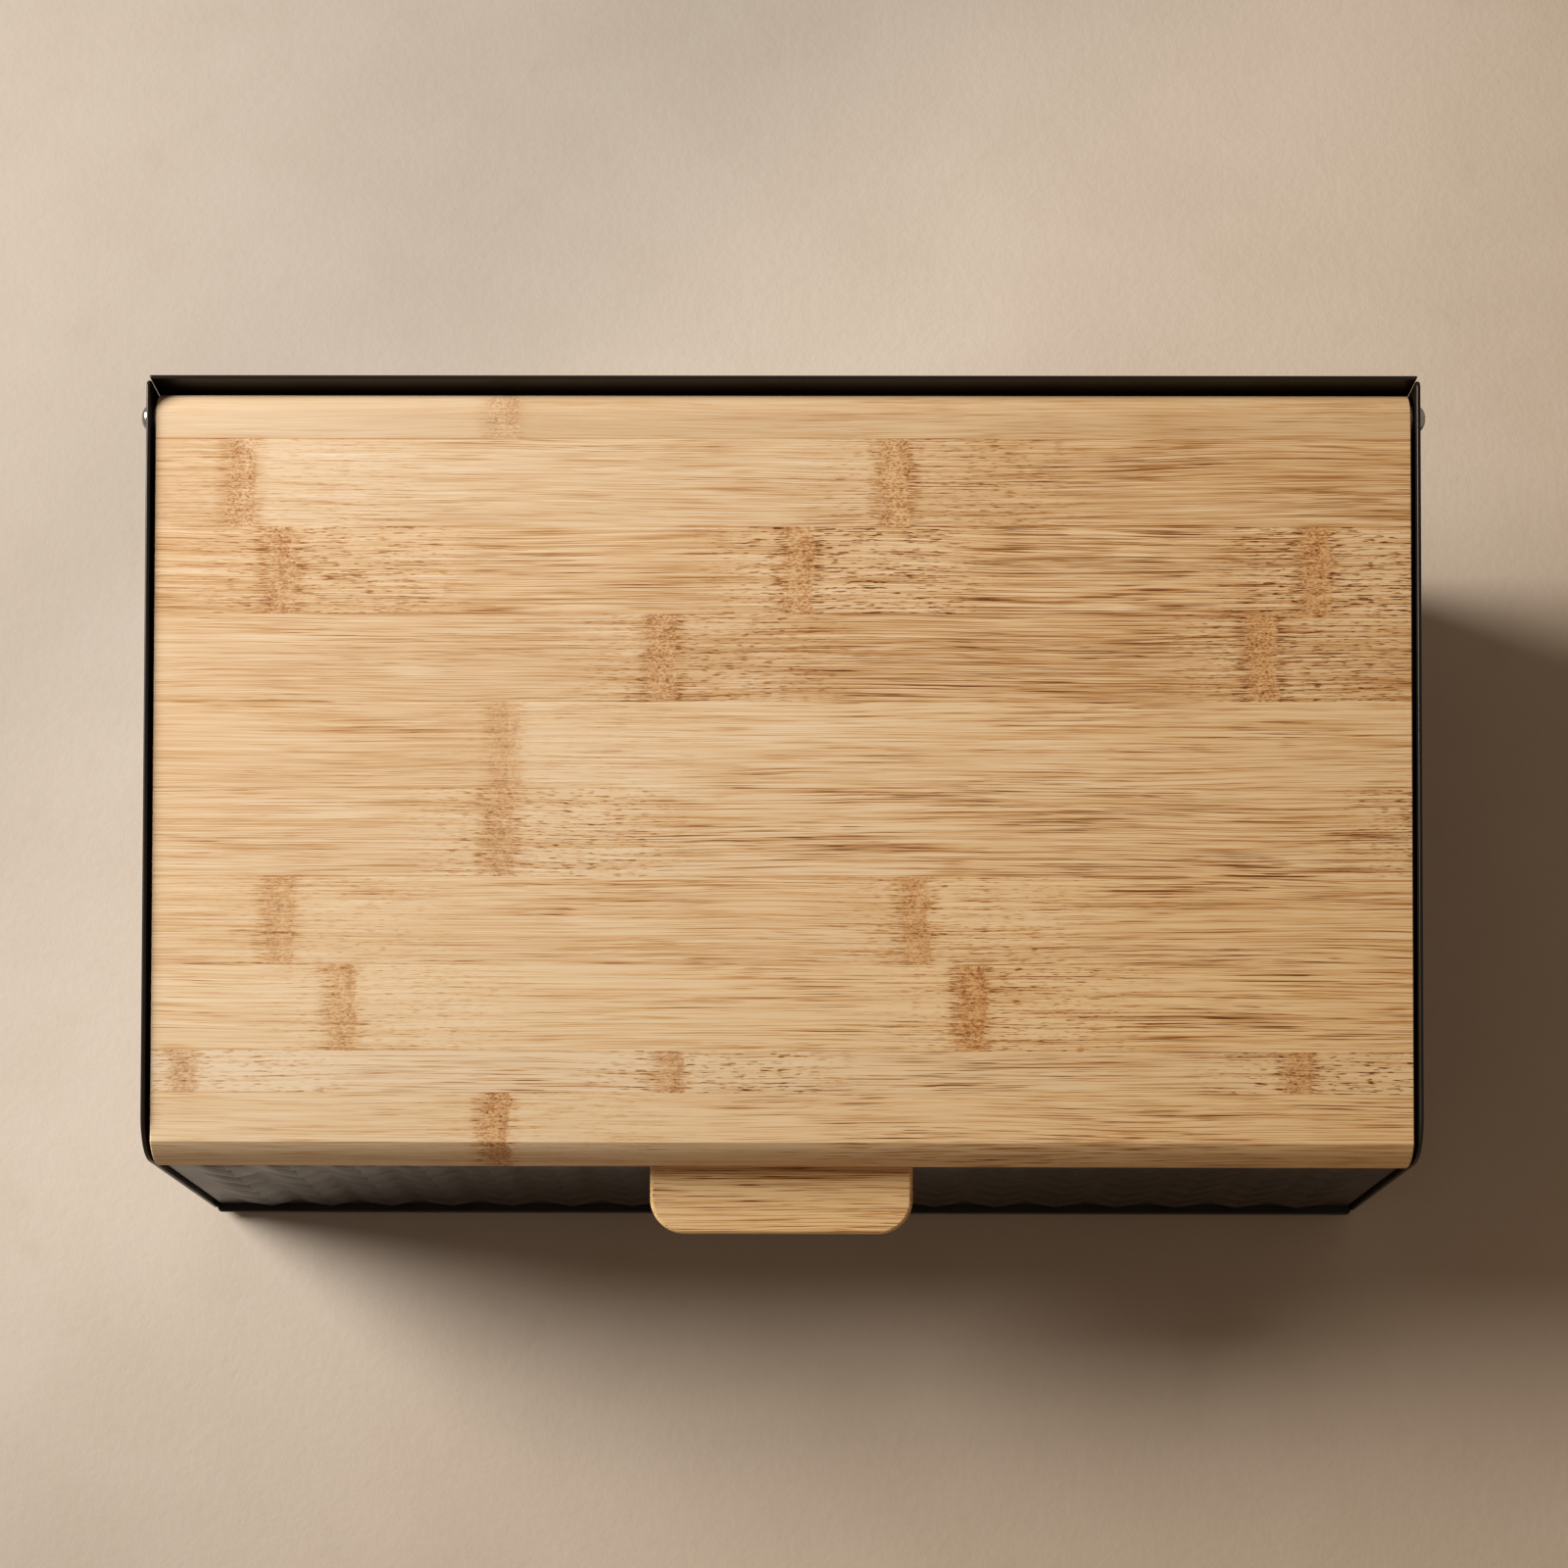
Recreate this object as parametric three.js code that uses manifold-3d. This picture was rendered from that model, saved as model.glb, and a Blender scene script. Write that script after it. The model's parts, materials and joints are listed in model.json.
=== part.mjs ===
// Bread box: a folded sheet-steel body under a sloping bamboo lid that swings up on two screws.
// Millimetres, +Z is up, the front faces -Y, and the origin lies under the middle of the box.
import * as THREE from "three";
import { mergeVertices } from "three/addons/utils/BufferGeometryUtils.js";
import Module from "manifold-3d";

const wasm = await Module();
wasm.setup();

// Body
const BODY_WIDTH = 360; // over the side panels
const BODY_DEPTH = 213.7; // back panel's outer face to the front edges of the side panels
const FRONT_HEIGHT = 111; // side panels' rim, run out straight to their front edges
const LID_SLOPE = THREE.MathUtils.degToRad(14);
const SHEET = 1.2;
const BEND_RADIUS = 1; // on the inside of every fold
const FIT_GAP = 0.3; // left between pieces that rest on, or are fixed to, one another
const CUT_OVERRUN = 5; // how far a cutting shape reaches past what it cuts

// Side panels
const SIDE_CORNER_RADIUS = 15; // upper front corner
const SIDE_EDGE_RADIUS = 2; // the other corners
const SIDE_REAR_STEP = 0.8; // side panels end this far before the back panel's outer face
const SIDE_FLANGE_WIDTH = 16; // turned in under the base plate
const SIDE_FLANGE_INSET = 14; // kept from the panel's front and rear edges
const BEND_RELIEF = 2; // slot beside the end of a fold

// Front panel
const FRONT_RECESS = 1; // behind the front edges of the side panels
const FRONT_END_FLANGE = 14;
const FRONT_FOOT_FLANGE = 14;
const FRONT_TOP_FLANGE = 11; // carries the lid bumpers
const NOTCH_CLEARANCE = 2; // round the handle where it crosses the panel
const NOTCH_RADIUS = 3;

// Back panel
const BACK_END_FLANGE = 14;
const BACK_FOOT_FLANGE = 14;
const BACK_FLANGE_DROP = 6; // end flanges stop this far under the closed lid
const VENT_COUNT = 9;
const VENT_DIAMETER = 5;
const VENT_PITCH = 18;
const VENT_DEPTH_BELOW_RIM = 42;

// Base plate
const LIP_OVERHANG = 1.4; // in front of the side panels
const LIP_CORNER_RADIUS = 1.5;

// Rubber feet, pushed through the base
const FOOT_HEIGHT = 3;
const FOOT_DIAMETER = 12;
const FOOT_EDGE = 1; // taper of the foot's rim towards the table
const FOOT_STEM_DIAMETER = 4.4;
const FOOT_BARB_DIAMETER = 7;
const FOOT_BARB_HEIGHT = 1.6;
const FOOT_INSET_X = 9;
const FOOT_INSET_Y = 25;

// Lid board
const BOARD_THICKNESS = 13;
const BOARD_SIDE_GAP = 1.25; // to each side panel
const BOARD_OVERHANG = 1.9; // in front of the side panels
const LID_DROP = 1.4; // board's top face under the rim, square to the slope
const BOARD_FRONT_RADIUS = 14;
const BOARD_CREASE = THREE.MathUtils.degToRad(26); // where the rounded front breaks from the top face
const PIVOT_SETBACK = 9; // pivot axis in front of the back panel's outer face

// Pivot screws, washers and threaded inserts
const PIVOT_HEAD_DIAMETER = 7.4;
const PIVOT_HEAD_HEIGHT = 2.6;
const PIVOT_SHANK_DIAMETER = 4;
const PIVOT_SCREW_LENGTH = 14; // under the head
const PIVOT_WASHER_DIAMETER = 8;
const INSERT_DIAMETER = 6.6;
const INSERT_LENGTH = 14;
const DRIVE_WIDTH = 0.9; // slots of a cross recess
const DRIVE_SPAN_SHARE = 0.58; // of the head's diameter
const DRIVE_DEPTH_SHARE = 0.5; // of the head's height

// Handle tab and its screws
const HANDLE_WIDTH = 75;
const HANDLE_LENGTH = 38;
const HANDLE_REACH = 19.4; // in front of the board
const HANDLE_THICKNESS = 6;
const HANDLE_CORNER_RADIUS = 10;
const HANDLE_REAR_RADIUS = 2;
const HANDLE_EDGE_RADIUS = 1.3;
const HANDLE_SCREW_INSET = 13.5; // from the tab's ends
const HANDLE_SCREW_SETBACK = 8.5; // from the tab's rear edge
const HANDLE_SCREW_HEAD_DIAMETER = 7;
const HANDLE_SCREW_HEAD_HEIGHT = 2.4;
const HANDLE_SCREW_DIAMETER = 3.5;
const HANDLE_SCREW_LENGTH = 14;
const HANDLE_SCREW_POINT = 2.5;

// Rubber bumpers that the closed lid rests on
const BUMPER_DIAMETER = 8;
const BUMPER_HEIGHT = 1.5;
const BUMPER_EDGE = 0.5;
const BUMPER_INSET = 55; // from the outer faces of the side panels

// Smoothness
const ROUND_SIDES = 24;
const CORNER_STEPS = 5;
const LARGE_CORNER_STEPS = 14;
const DOME_STEPS = 5;

// Places that follow from the sizes, with y = 0 on the back panel's outer face and z = 0 under the sides
const half = BODY_WIDTH / 2;
const sideInner = half - SHEET;
const panelEnd = sideInner - FIT_GAP;
const outerBend = BEND_RADIUS + SHEET;
const slopeRise = Math.tan(LID_SLOPE);
const rimHeight = (y) => FRONT_HEIGHT + (y + BODY_DEPTH) * slopeRise;
const boardUnderside = (y) => rimHeight(y) - (LID_DROP + BOARD_THICKNESS) / Math.cos(LID_SLOPE);
const baseBottom = SHEET + FIT_GAP;
const baseTop = baseBottom + SHEET;
const panelBottom = baseTop + FIT_GAP;
const frontOuter = -BODY_DEPTH + FRONT_RECESS;
const frontInner = frontOuter + SHEET;
const baseFront = -BODY_DEPTH - LIP_OVERHANG;
const pivotY = -PIVOT_SETBACK;
const pivotZ = rimHeight(pivotY) - (LID_DROP + BOARD_THICKNESS / 2) / Math.cos(LID_SLOPE);
const boardEnd = sideInner - BOARD_SIDE_GAP;
const boardTop = BOARD_THICKNESS / 2;
const boardFront = -(BODY_DEPTH + BOARD_OVERHANG - PIVOT_SETBACK) / Math.cos(LID_SLOPE);
const handleFront = boardFront - HANDLE_REACH;
const handleTop = -boardTop - FIT_GAP;
const handleBottom = handleTop - HANDLE_THICKNESS;
const bumperSpace = BUMPER_HEIGHT + 2 * FIT_GAP;
// the handle's foremost point, on the rounded upper edge of its front
const handleReachY =
  pivotY +
  (handleFront + HANDLE_EDGE_RADIUS) * Math.cos(LID_SLOPE) -
  (handleTop - HANDLE_EDGE_RADIUS) * Math.sin(LID_SLOPE) -
  HANDLE_EDGE_RADIUS;

const material = (color, roughness, metalness) =>
  new THREE.MeshStandardMaterial({ color, roughness, metalness, flatShading: true });
const steelPaint = () => material(0x17140f, 0.38, 0.2);
const bamboo = () => material(0xd9b47e, 0.55, 0);
const polishedSteel = () => material(0xb9b9b6, 0.25, 1);
const nylon = () => material(0xe8e4da, 0.5, 0);
const brass = () => material(0xb59a5a, 0.35, 1);
const rubber = () => material(0x1c1b1a, 0.85, 0);

// Solids
const loose = (geometry) => (geometry.index ? geometry.toNonIndexed() : geometry.clone());

function solidOf(geometry) {
  const bare = loose(geometry);
  bare.deleteAttribute("normal");
  bare.deleteAttribute("uv");
  const merged = mergeVertices(bare, 1e-4);
  return new wasm.Manifold(
    new wasm.Mesh({
      numProp: 3,
      vertProperties: new Float32Array(merged.attributes.position.array),
      triVerts: new Uint32Array(merged.index.array),
    }),
  );
}

function geometryOf(solid) {
  const mesh = solid.getMesh();
  const geometry = new THREE.BufferGeometry();
  geometry.setAttribute("position", new THREE.BufferAttribute(mesh.vertProperties, 3));
  geometry.setIndex(new THREE.BufferAttribute(mesh.triVerts, 1));
  return geometry;
}

const join = (...geometries) => geometryOf(geometries.map(solidOf).reduce((a, b) => a.add(b)));
const cut = (geometry, ...tools) =>
  geometryOf(tools.map(solidOf).reduce((a, b) => a.subtract(b), solidOf(geometry)));

function piece(name, geometry, finish) {
  const mesh = new THREE.Mesh(loose(geometry), finish);
  mesh.geometry.computeVertexNormals();
  mesh.name = name;
  return mesh;
}

// Outlines are drawn as (y, z) for a run along X, as (x, z) along Y and as (x, y) along Z.
const AXES = {
  x: new THREE.Matrix4().makeBasis(
    new THREE.Vector3(0, 1, 0),
    new THREE.Vector3(0, 0, 1),
    new THREE.Vector3(1, 0, 0),
  ),
  y: new THREE.Matrix4().makeBasis(
    new THREE.Vector3(1, 0, 0),
    new THREE.Vector3(0, 0, 1),
    new THREE.Vector3(0, -1, 0),
  ),
  z: new THREE.Matrix4(),
};

function run(shape, axis, from, to) {
  const options = { depth: to - from, bevelEnabled: false, curveSegments: 1 };
  const geometry = new THREE.ExtrudeGeometry(shape, options).applyMatrix4(AXES[axis]);
  const start = axis === "y" ? to : from;
  return geometry.translate(axis === "x" ? start : 0, axis === "y" ? start : 0, axis === "z" ? start : 0);
}

// A closed outline through corners [a, b, radius], each rounded by its own radius.
function roundedOutline(corners, steps = CORNER_STEPS) {
  const points = [];
  corners.forEach(([a, b, radius = 0], i) => {
    const here = new THREE.Vector2(a, b);
    if (!radius) {
      points.push(here);
      return;
    }
    const before = new THREE.Vector2(...corners.at(i - 1)).sub(here).normalize();
    const after = new THREE.Vector2(...corners[(i + 1) % corners.length]).sub(here).normalize();
    points.push(...filletPoints(here, before, after, radius, steps));
  });
  return new THREE.Shape(points);
}

// Points of the arc that rounds a corner whose edges leave along the unit directions before and after.
function filletPoints(corner, before, after, radius, steps) {
  const halfAngle = Math.acos(THREE.MathUtils.clamp(before.dot(after), -1, 1)) / 2;
  const reach = radius / Math.tan(halfAngle);
  const middle = before.clone().add(after).normalize();
  const centre = corner.clone().addScaledVector(middle, radius / Math.sin(halfAngle));
  const start = corner.clone().addScaledVector(before, reach).sub(centre);
  const sweep = Math.PI - 2 * halfAngle;
  const turn = Math.sign(after.clone().cross(before)) * sweep;
  return Array.from({ length: steps + 1 }, (_, k) =>
    start.clone().rotateAround(new THREE.Vector2(), (turn * k) / steps).add(centre),
  );
}

const rectangle = (a0, b0, a1, b1, radius = 0) =>
  roundedOutline([
    [a0, b0, radius],
    [a1, b0, radius],
    [a1, b1, radius],
    [a0, b1, radius],
  ]);

const block = (x0, x1, y0, y1, z0, z1) => run(rectangle(x0, y0, x1, y1), "z", z0, z1);

// Section of a folded sheet whose middle line passes through the given corners.
function foldedSection(corners) {
  const line = corners.map(([a, b]) => new THREE.Vector2(a, b));
  const side = (sign) => {
    const offset = (i) => {
      const along = line[i + 1].clone().sub(line[i]).normalize();
      return new THREE.Vector2(-along.y, along.x).multiplyScalar((sign * SHEET) / 2);
    };
    const points = [line[0].clone().add(offset(0))];
    for (let i = 1; i < line.length - 1; i++) {
      const before = line[i - 1].clone().sub(line[i]).normalize();
      const after = line[i + 1].clone().sub(line[i]).normalize();
      const left = before.cross(after) < 0 ? 1 : -1; // side that the fold turns towards
      const radius = BEND_RADIUS + (left === sign ? 0 : SHEET);
      const stretch = SHEET / 2 / Math.sin(Math.acos(before.dot(after)) / 2);
      const middle = before.clone().add(after).normalize();
      const corner = line[i].clone().addScaledVector(middle, left === sign ? stretch : -stretch);
      points.push(...filletPoints(corner, before, after, radius, CORNER_STEPS));
    }
    points.push(line.at(-1).clone().add(offset(line.length - 2)));
    return points;
  };
  return new THREE.Shape([...side(-1), ...side(1).reverse()]);
}

// A turned solid from (radius, height) points, with its axis along +Z.
function turned(profile, sides = ROUND_SIDES) {
  const points = profile.map(([r, h]) => new THREE.Vector2(r, h));
  return new THREE.LatheGeometry(points, sides).rotateX(Math.PI / 2);
}

const rod = (diameter, from, to) =>
  turned([
    [0, from],
    [diameter / 2, from],
    [diameter / 2, to],
    [0, to],
  ]);

// Points of a dome of the given base radius that rises from base to base + height.
const dome = (radius, base, height) =>
  Array.from({ length: DOME_STEPS + 1 }, (_, k) => {
    const angle = (Math.PI / 2) * (k / DOME_STEPS);
    return [k === DOME_STEPS ? 0 : radius * Math.cos(angle), base + height * Math.sin(angle)];
  });

// A crossed pair of slots that is cut into a screw head from its outer face at z = face.
function crossRecess(diameter, face, depth, outward) {
  const reach = (diameter * DRIVE_SPAN_SHARE) / 2;
  const slot = DRIVE_WIDTH / 2;
  const [z0, z1] = [face - outward * depth, face + outward * CUT_OVERRUN].sort((a, b) => a - b);
  return join(block(-reach, reach, -slot, slot, z0, z1), block(-slot, slot, -reach, reach, z0, z1));
}

// Side panels
function sidePanel() {
  const rear = -SIDE_REAR_STEP;
  const rimFront = rimHeight(-BODY_DEPTH);
  const outline = roundedOutline(
    [
      [-BODY_DEPTH, 0, SIDE_EDGE_RADIUS],
      [rear, 0, SIDE_EDGE_RADIUS],
      [rear, rimHeight(rear), SIDE_EDGE_RADIUS],
      [-BODY_DEPTH, rimFront, SIDE_CORNER_RADIUS],
    ],
    LARGE_CORNER_STEPS,
  );
  const flangeFront = -BODY_DEPTH + SIDE_FLANGE_INSET;
  const flangeRear = rear - SIDE_FLANGE_INSET;
  const fold = foldedSection([
    [half - SIDE_FLANGE_WIDTH, SHEET / 2],
    [half - SHEET / 2, SHEET / 2],
    [half - SHEET / 2, 2 * outerBend],
  ]);
  const relief = block(
    sideInner - CUT_OVERRUN,
    half + CUT_OVERRUN,
    flangeFront - BEND_RELIEF,
    flangeRear + BEND_RELIEF,
    -CUT_OVERRUN,
    outerBend,
  );
  const wall = cut(run(outline, "x", sideInner, half), relief);
  const pivotHole = rod(PIVOT_SHANK_DIAMETER + 2 * FIT_GAP, sideInner - CUT_OVERRUN, half + CUT_OVERRUN)
    .rotateY(Math.PI / 2)
    .translate(0, pivotY, pivotZ);
  const footHoles = footPlaces()
    .filter(([x]) => x > 0)
    .map(([x, y]) => footHole(x, y));
  return cut(join(wall, run(fold, "y", flangeFront, flangeRear)), pivotHole, ...footHoles);
}

// The mirror image of a geometry across the plane x = 0, still facing outwards.
function mirrored(geometry) {
  const flipped = loose(geometry).scale(-1, 1, 1);
  const position = flipped.attributes.position;
  for (let i = 0; i < position.count; i += 3) {
    const swap = [position.getX(i), position.getY(i), position.getZ(i)];
    position.setXYZ(i, position.getX(i + 1), position.getY(i + 1), position.getZ(i + 1));
    position.setXYZ(i + 1, ...swap);
  }
  return flipped;
}

// The folds along the foot and the top of an upright panel end short of its end flanges.
const foldEnd = panelEnd - outerBend - BEND_RELIEF;

// Flat corners of an upright panel, beside the ends of such a fold
const corners = (y0, y1, z0, z1) => [
  block(-panelEnd, -foldEnd, y0, y1, z0, z1),
  block(foldEnd, panelEnd, y0, y1, z0, z1),
];

// Front panel, with its top flange parallel to the lid and a notch that the handle passes through
function frontPanel() {
  const middle = (frontOuter + frontInner) / 2;
  const flangeTop = boardUnderside(middle) - bumperSpace / Math.cos(LID_SLOPE);
  const cornerZ = flangeTop - SHEET / 2 / Math.cos(LID_SLOPE);
  const fold = foldedSection([
    [frontOuter + FRONT_FOOT_FLANGE, panelBottom + SHEET / 2],
    [middle, panelBottom + SHEET / 2],
    [middle, cornerZ],
    [middle + FRONT_TOP_FLANGE * Math.cos(LID_SLOPE), cornerZ + FRONT_TOP_FLANGE * Math.sin(LID_SLOPE)],
  ]);
  const ends = foldedSection([
    [-panelEnd + SHEET / 2, frontOuter + FRONT_END_FLANGE],
    [-panelEnd + SHEET / 2, middle],
    [panelEnd - SHEET / 2, middle],
    [panelEnd - SHEET / 2, frontOuter + FRONT_END_FLANGE],
  ]);
  const handleUnder = rimHeight(middle) - (LID_DROP + boardTop - handleBottom) / Math.cos(LID_SLOPE);
  const notchHalf = HANDLE_WIDTH / 2 + NOTCH_CLEARANCE;
  const notch = run(
    rectangle(-notchHalf, handleUnder - NOTCH_CLEARANCE, notchHalf, flangeTop + 2 * CUT_OVERRUN, NOTCH_RADIUS),
    "y",
    frontOuter - CUT_OVERRUN,
    frontOuter + FRONT_TOP_FLANGE + CUT_OVERRUN,
  );
  const bendEnd = outerBend + BEND_RELIEF;
  const body = join(
    run(fold, "x", -foldEnd, foldEnd),
    run(ends, "z", panelBottom + bendEnd, cornerZ - bendEnd),
    ...corners(frontOuter, frontInner, panelBottom, panelBottom + bendEnd),
    ...corners(frontOuter, frontInner, cornerZ - bendEnd, cornerZ),
  );
  return cut(body, notch);
}

// Back panel, whose end flanges stop under the lid so that the board can swing
function backPanel() {
  const top = rimHeight(0);
  const flangeTop = boardUnderside(-BACK_END_FLANGE) - BACK_FLANGE_DROP;
  const fold = foldedSection([
    [-BACK_FOOT_FLANGE, panelBottom + SHEET / 2],
    [-SHEET / 2, panelBottom + SHEET / 2],
    [-SHEET / 2, top],
  ]);
  const ends = foldedSection([
    [-panelEnd + SHEET / 2, -BACK_END_FLANGE],
    [-panelEnd + SHEET / 2, -SHEET / 2],
    [panelEnd - SHEET / 2, -SHEET / 2],
    [panelEnd - SHEET / 2, -BACK_END_FLANGE],
  ]);
  const vents = Array.from({ length: VENT_COUNT }, (_, i) =>
    rod(VENT_DIAMETER, -CUT_OVERRUN, CUT_OVERRUN)
      .rotateX(Math.PI / 2)
      .translate((i - (VENT_COUNT - 1) / 2) * VENT_PITCH, 0, top - VENT_DEPTH_BELOW_RIM),
  );
  const bendEnd = outerBend + BEND_RELIEF;
  const body = join(
    run(fold, "x", -foldEnd, foldEnd),
    run(ends, "z", panelBottom + bendEnd, flangeTop),
    ...corners(-SHEET, 0, panelBottom, panelBottom + bendEnd),
    ...corners(-SHEET, 0, flangeTop, top),
  );
  return cut(body, ...vents);
}

// Base plate, which the front and back panels stand on
function basePlate() {
  const outline = roundedOutline([
    [-panelEnd, baseFront, LIP_CORNER_RADIUS],
    [panelEnd, baseFront, LIP_CORNER_RADIUS],
    [panelEnd, 0, 0],
    [-panelEnd, 0, 0],
  ]);
  const holes = footPlaces().map(([x, y]) => footHole(x, y));
  return cut(run(outline, "z", baseBottom, baseTop), ...holes);
}

// Feet
const footPlaces = () =>
  [-1, 1].flatMap((side) =>
    [-BODY_DEPTH + FOOT_INSET_Y, -FOOT_INSET_Y].map((y) => [side * (half - FOOT_INSET_X), y]),
  );

const footHole = (x, y) =>
  rod(FOOT_STEM_DIAMETER + 2 * FIT_GAP, -CUT_OVERRUN, baseTop + CUT_OVERRUN).translate(x, y, 0);

function foot() {
  const sole = FOOT_DIAMETER / 2;
  const stem = FOOT_STEM_DIAMETER / 2;
  const barbBase = baseTop + FIT_GAP;
  return turned([
    [0, -FOOT_HEIGHT],
    [sole - FOOT_EDGE, -FOOT_HEIGHT],
    [sole, -FOOT_HEIGHT + FOOT_EDGE],
    [sole, -FIT_GAP],
    [stem, -FIT_GAP],
    [stem, barbBase],
    ...dome(FOOT_BARB_DIAMETER / 2, barbBase, FOOT_BARB_HEIGHT),
  ]);
}

// Bumpers, on the front panel's top flange
function bumper() {
  const radius = BUMPER_DIAMETER / 2;
  return turned([
    [0, 0],
    [radius, 0],
    [radius, BUMPER_HEIGHT - BUMPER_EDGE],
    [radius - BUMPER_EDGE, BUMPER_HEIGHT],
    [0, BUMPER_HEIGHT],
  ]);
}

// Lid board, drawn from the pivot axis with its top face level: round at the rear, creased at the front
function lidBoard() {
  const radius = Math.min(BOARD_FRONT_RADIUS, BOARD_THICKNESS / Math.cos(BOARD_CREASE));
  const centre = new THREE.Vector2(boardFront + radius, boardTop - radius * Math.cos(BOARD_CREASE));
  const arc = (mid, r, from, to, steps) =>
    Array.from({ length: steps + 1 }, (_, k) => {
      const angle = from + ((to - from) * k) / steps;
      return new THREE.Vector2(mid.x + r * Math.cos(angle), mid.y + r * Math.sin(angle));
    });
  const outline = new THREE.Shape([
    ...arc(new THREE.Vector2(), boardTop, -Math.PI / 2, Math.PI / 2, ROUND_SIDES / 2),
    ...arc(centre, radius, Math.PI / 2 + BOARD_CREASE, Math.PI, LARGE_CORNER_STEPS),
    new THREE.Vector2(boardFront, -boardTop),
  ]);
  const insertHoles = [-1, 1].map((side) =>
    rod(INSERT_DIAMETER + 2 * FIT_GAP, boardEnd - INSERT_LENGTH - FIT_GAP, boardEnd + CUT_OVERRUN)
      .rotateY((side * Math.PI) / 2),
  );
  const pilots = handleScrewPlaces().map(([x, y]) =>
    rod(
      HANDLE_SCREW_DIAMETER + 2 * FIT_GAP,
      -boardTop - CUT_OVERRUN,
      handleBottom + HANDLE_SCREW_LENGTH + FIT_GAP,
    ).translate(x, y, 0),
  );
  return cut(run(outline, "x", -boardEnd, boardEnd), ...insertHoles, ...pilots);
}

// Handle tab, screwed to the underside of the board
const handleScrewPlaces = () =>
  [-1, 1].map((side) => [
    side * (HANDLE_WIDTH / 2 - HANDLE_SCREW_INSET),
    handleFront + HANDLE_LENGTH - HANDLE_SCREW_SETBACK,
  ]);

function handleTab() {
  const inset = HANDLE_EDGE_RADIUS;
  const shape = roundedOutline([
    [-HANDLE_WIDTH / 2 + inset, handleFront + inset, HANDLE_CORNER_RADIUS - inset],
    [HANDLE_WIDTH / 2 - inset, handleFront + inset, HANDLE_CORNER_RADIUS - inset],
    [HANDLE_WIDTH / 2 - inset, handleFront + HANDLE_LENGTH - inset, HANDLE_REAR_RADIUS],
    [-HANDLE_WIDTH / 2 + inset, handleFront + HANDLE_LENGTH - inset, HANDLE_REAR_RADIUS],
  ]);
  const tab = new THREE.ExtrudeGeometry(shape, {
    depth: HANDLE_THICKNESS - 2 * inset,
    bevelThickness: inset,
    bevelSize: inset,
    bevelSegments: 3,
    curveSegments: 1,
  }).translate(0, 0, handleBottom + inset);
  const clear = HANDLE_SCREW_DIAMETER / 2 + FIT_GAP;
  const mouth = HANDLE_SCREW_HEAD_DIAMETER / 2 + FIT_GAP;
  const screwHole = turned([
    [0, handleBottom - CUT_OVERRUN],
    [mouth, handleBottom - CUT_OVERRUN],
    [mouth, handleBottom + FIT_GAP],
    [clear, handleBottom + FIT_GAP + HANDLE_SCREW_HEAD_HEIGHT],
    [clear, handleTop + CUT_OVERRUN],
    [0, handleTop + CUT_OVERRUN],
  ]);
  return cut(tab, ...handleScrewPlaces().map(([x, y]) => screwHole.clone().translate(x, y, 0)));
}

function handleScrew() {
  const head = HANDLE_SCREW_HEAD_DIAMETER / 2;
  const shank = HANDLE_SCREW_DIAMETER / 2;
  const body = turned([
    [0, 0],
    [head, 0],
    [shank, HANDLE_SCREW_HEAD_HEIGHT],
    [shank, HANDLE_SCREW_LENGTH - HANDLE_SCREW_POINT],
    [0, HANDLE_SCREW_LENGTH],
  ]);
  const depth = HANDLE_SCREW_HEAD_HEIGHT * DRIVE_DEPTH_SHARE;
  return cut(body, crossRecess(HANDLE_SCREW_HEAD_DIAMETER, 0, depth, -1));
}

// Pivot hardware, drawn along +Z from the board's middle outwards
function pivotScrew() {
  const seat = half + FIT_GAP;
  const shank = PIVOT_SHANK_DIAMETER / 2;
  const body = turned([
    [0, seat - PIVOT_SCREW_LENGTH],
    [shank, seat - PIVOT_SCREW_LENGTH],
    [shank, seat],
    ...dome(PIVOT_HEAD_DIAMETER / 2, seat, PIVOT_HEAD_HEIGHT),
  ]);
  const depth = PIVOT_HEAD_HEIGHT * DRIVE_DEPTH_SHARE;
  return cut(body, crossRecess(PIVOT_HEAD_DIAMETER, seat + PIVOT_HEAD_HEIGHT, depth, 1));
}

const ring = (outer, inner, from, to) =>
  turned([
    [inner / 2, from],
    [outer / 2, from],
    [outer / 2, to],
    [inner / 2, to],
    [inner / 2, from],
  ]);

const pivotWasher = () =>
  ring(PIVOT_WASHER_DIAMETER, PIVOT_SHANK_DIAMETER + 2 * FIT_GAP, boardEnd + FIT_GAP, sideInner - FIT_GAP);

const pivotInsert = () =>
  ring(INSERT_DIAMETER, PIVOT_SHANK_DIAMETER + 2 * FIT_GAP, boardEnd - INSERT_LENGTH, boardEnd);

// Assembly
const breadBox = new THREE.Group();
breadBox.position.set(0, -handleReachY / 2, FOOT_HEIGHT);

breadBox.add(
  piece("left_side_panel", mirrored(sidePanel()), steelPaint()),
  piece("right_side_panel", sidePanel(), steelPaint()),
  piece("front_panel", frontPanel(), steelPaint()),
  piece("back_panel", backPanel(), steelPaint()),
  piece("base_plate", basePlate(), steelPaint()),
);

const sideNames = ["left", "right"];
footPlaces().forEach(([x, y], i) => {
  const mesh = piece(`foot_${i % 2 ? "rear" : "front"}_${sideNames[i >> 1]}`, foot(), rubber());
  mesh.position.set(x, y, 0);
  breadBox.add(mesh);
});

sideNames.forEach((name, i) => {
  const mesh = piece(`lid_bumper_${name}`, bumper(), rubber());
  const y = (frontOuter + frontInner) / 2 + (FRONT_TOP_FLANGE / 2) * Math.cos(LID_SLOPE);
  const seat = boardUnderside(y) - (bumperSpace - FIT_GAP) / Math.cos(LID_SLOPE);
  mesh.position.set((i ? 1 : -1) * (half - BUMPER_INSET), y, seat);
  mesh.rotation.x = LID_SLOPE;
  breadBox.add(mesh);
});

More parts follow.
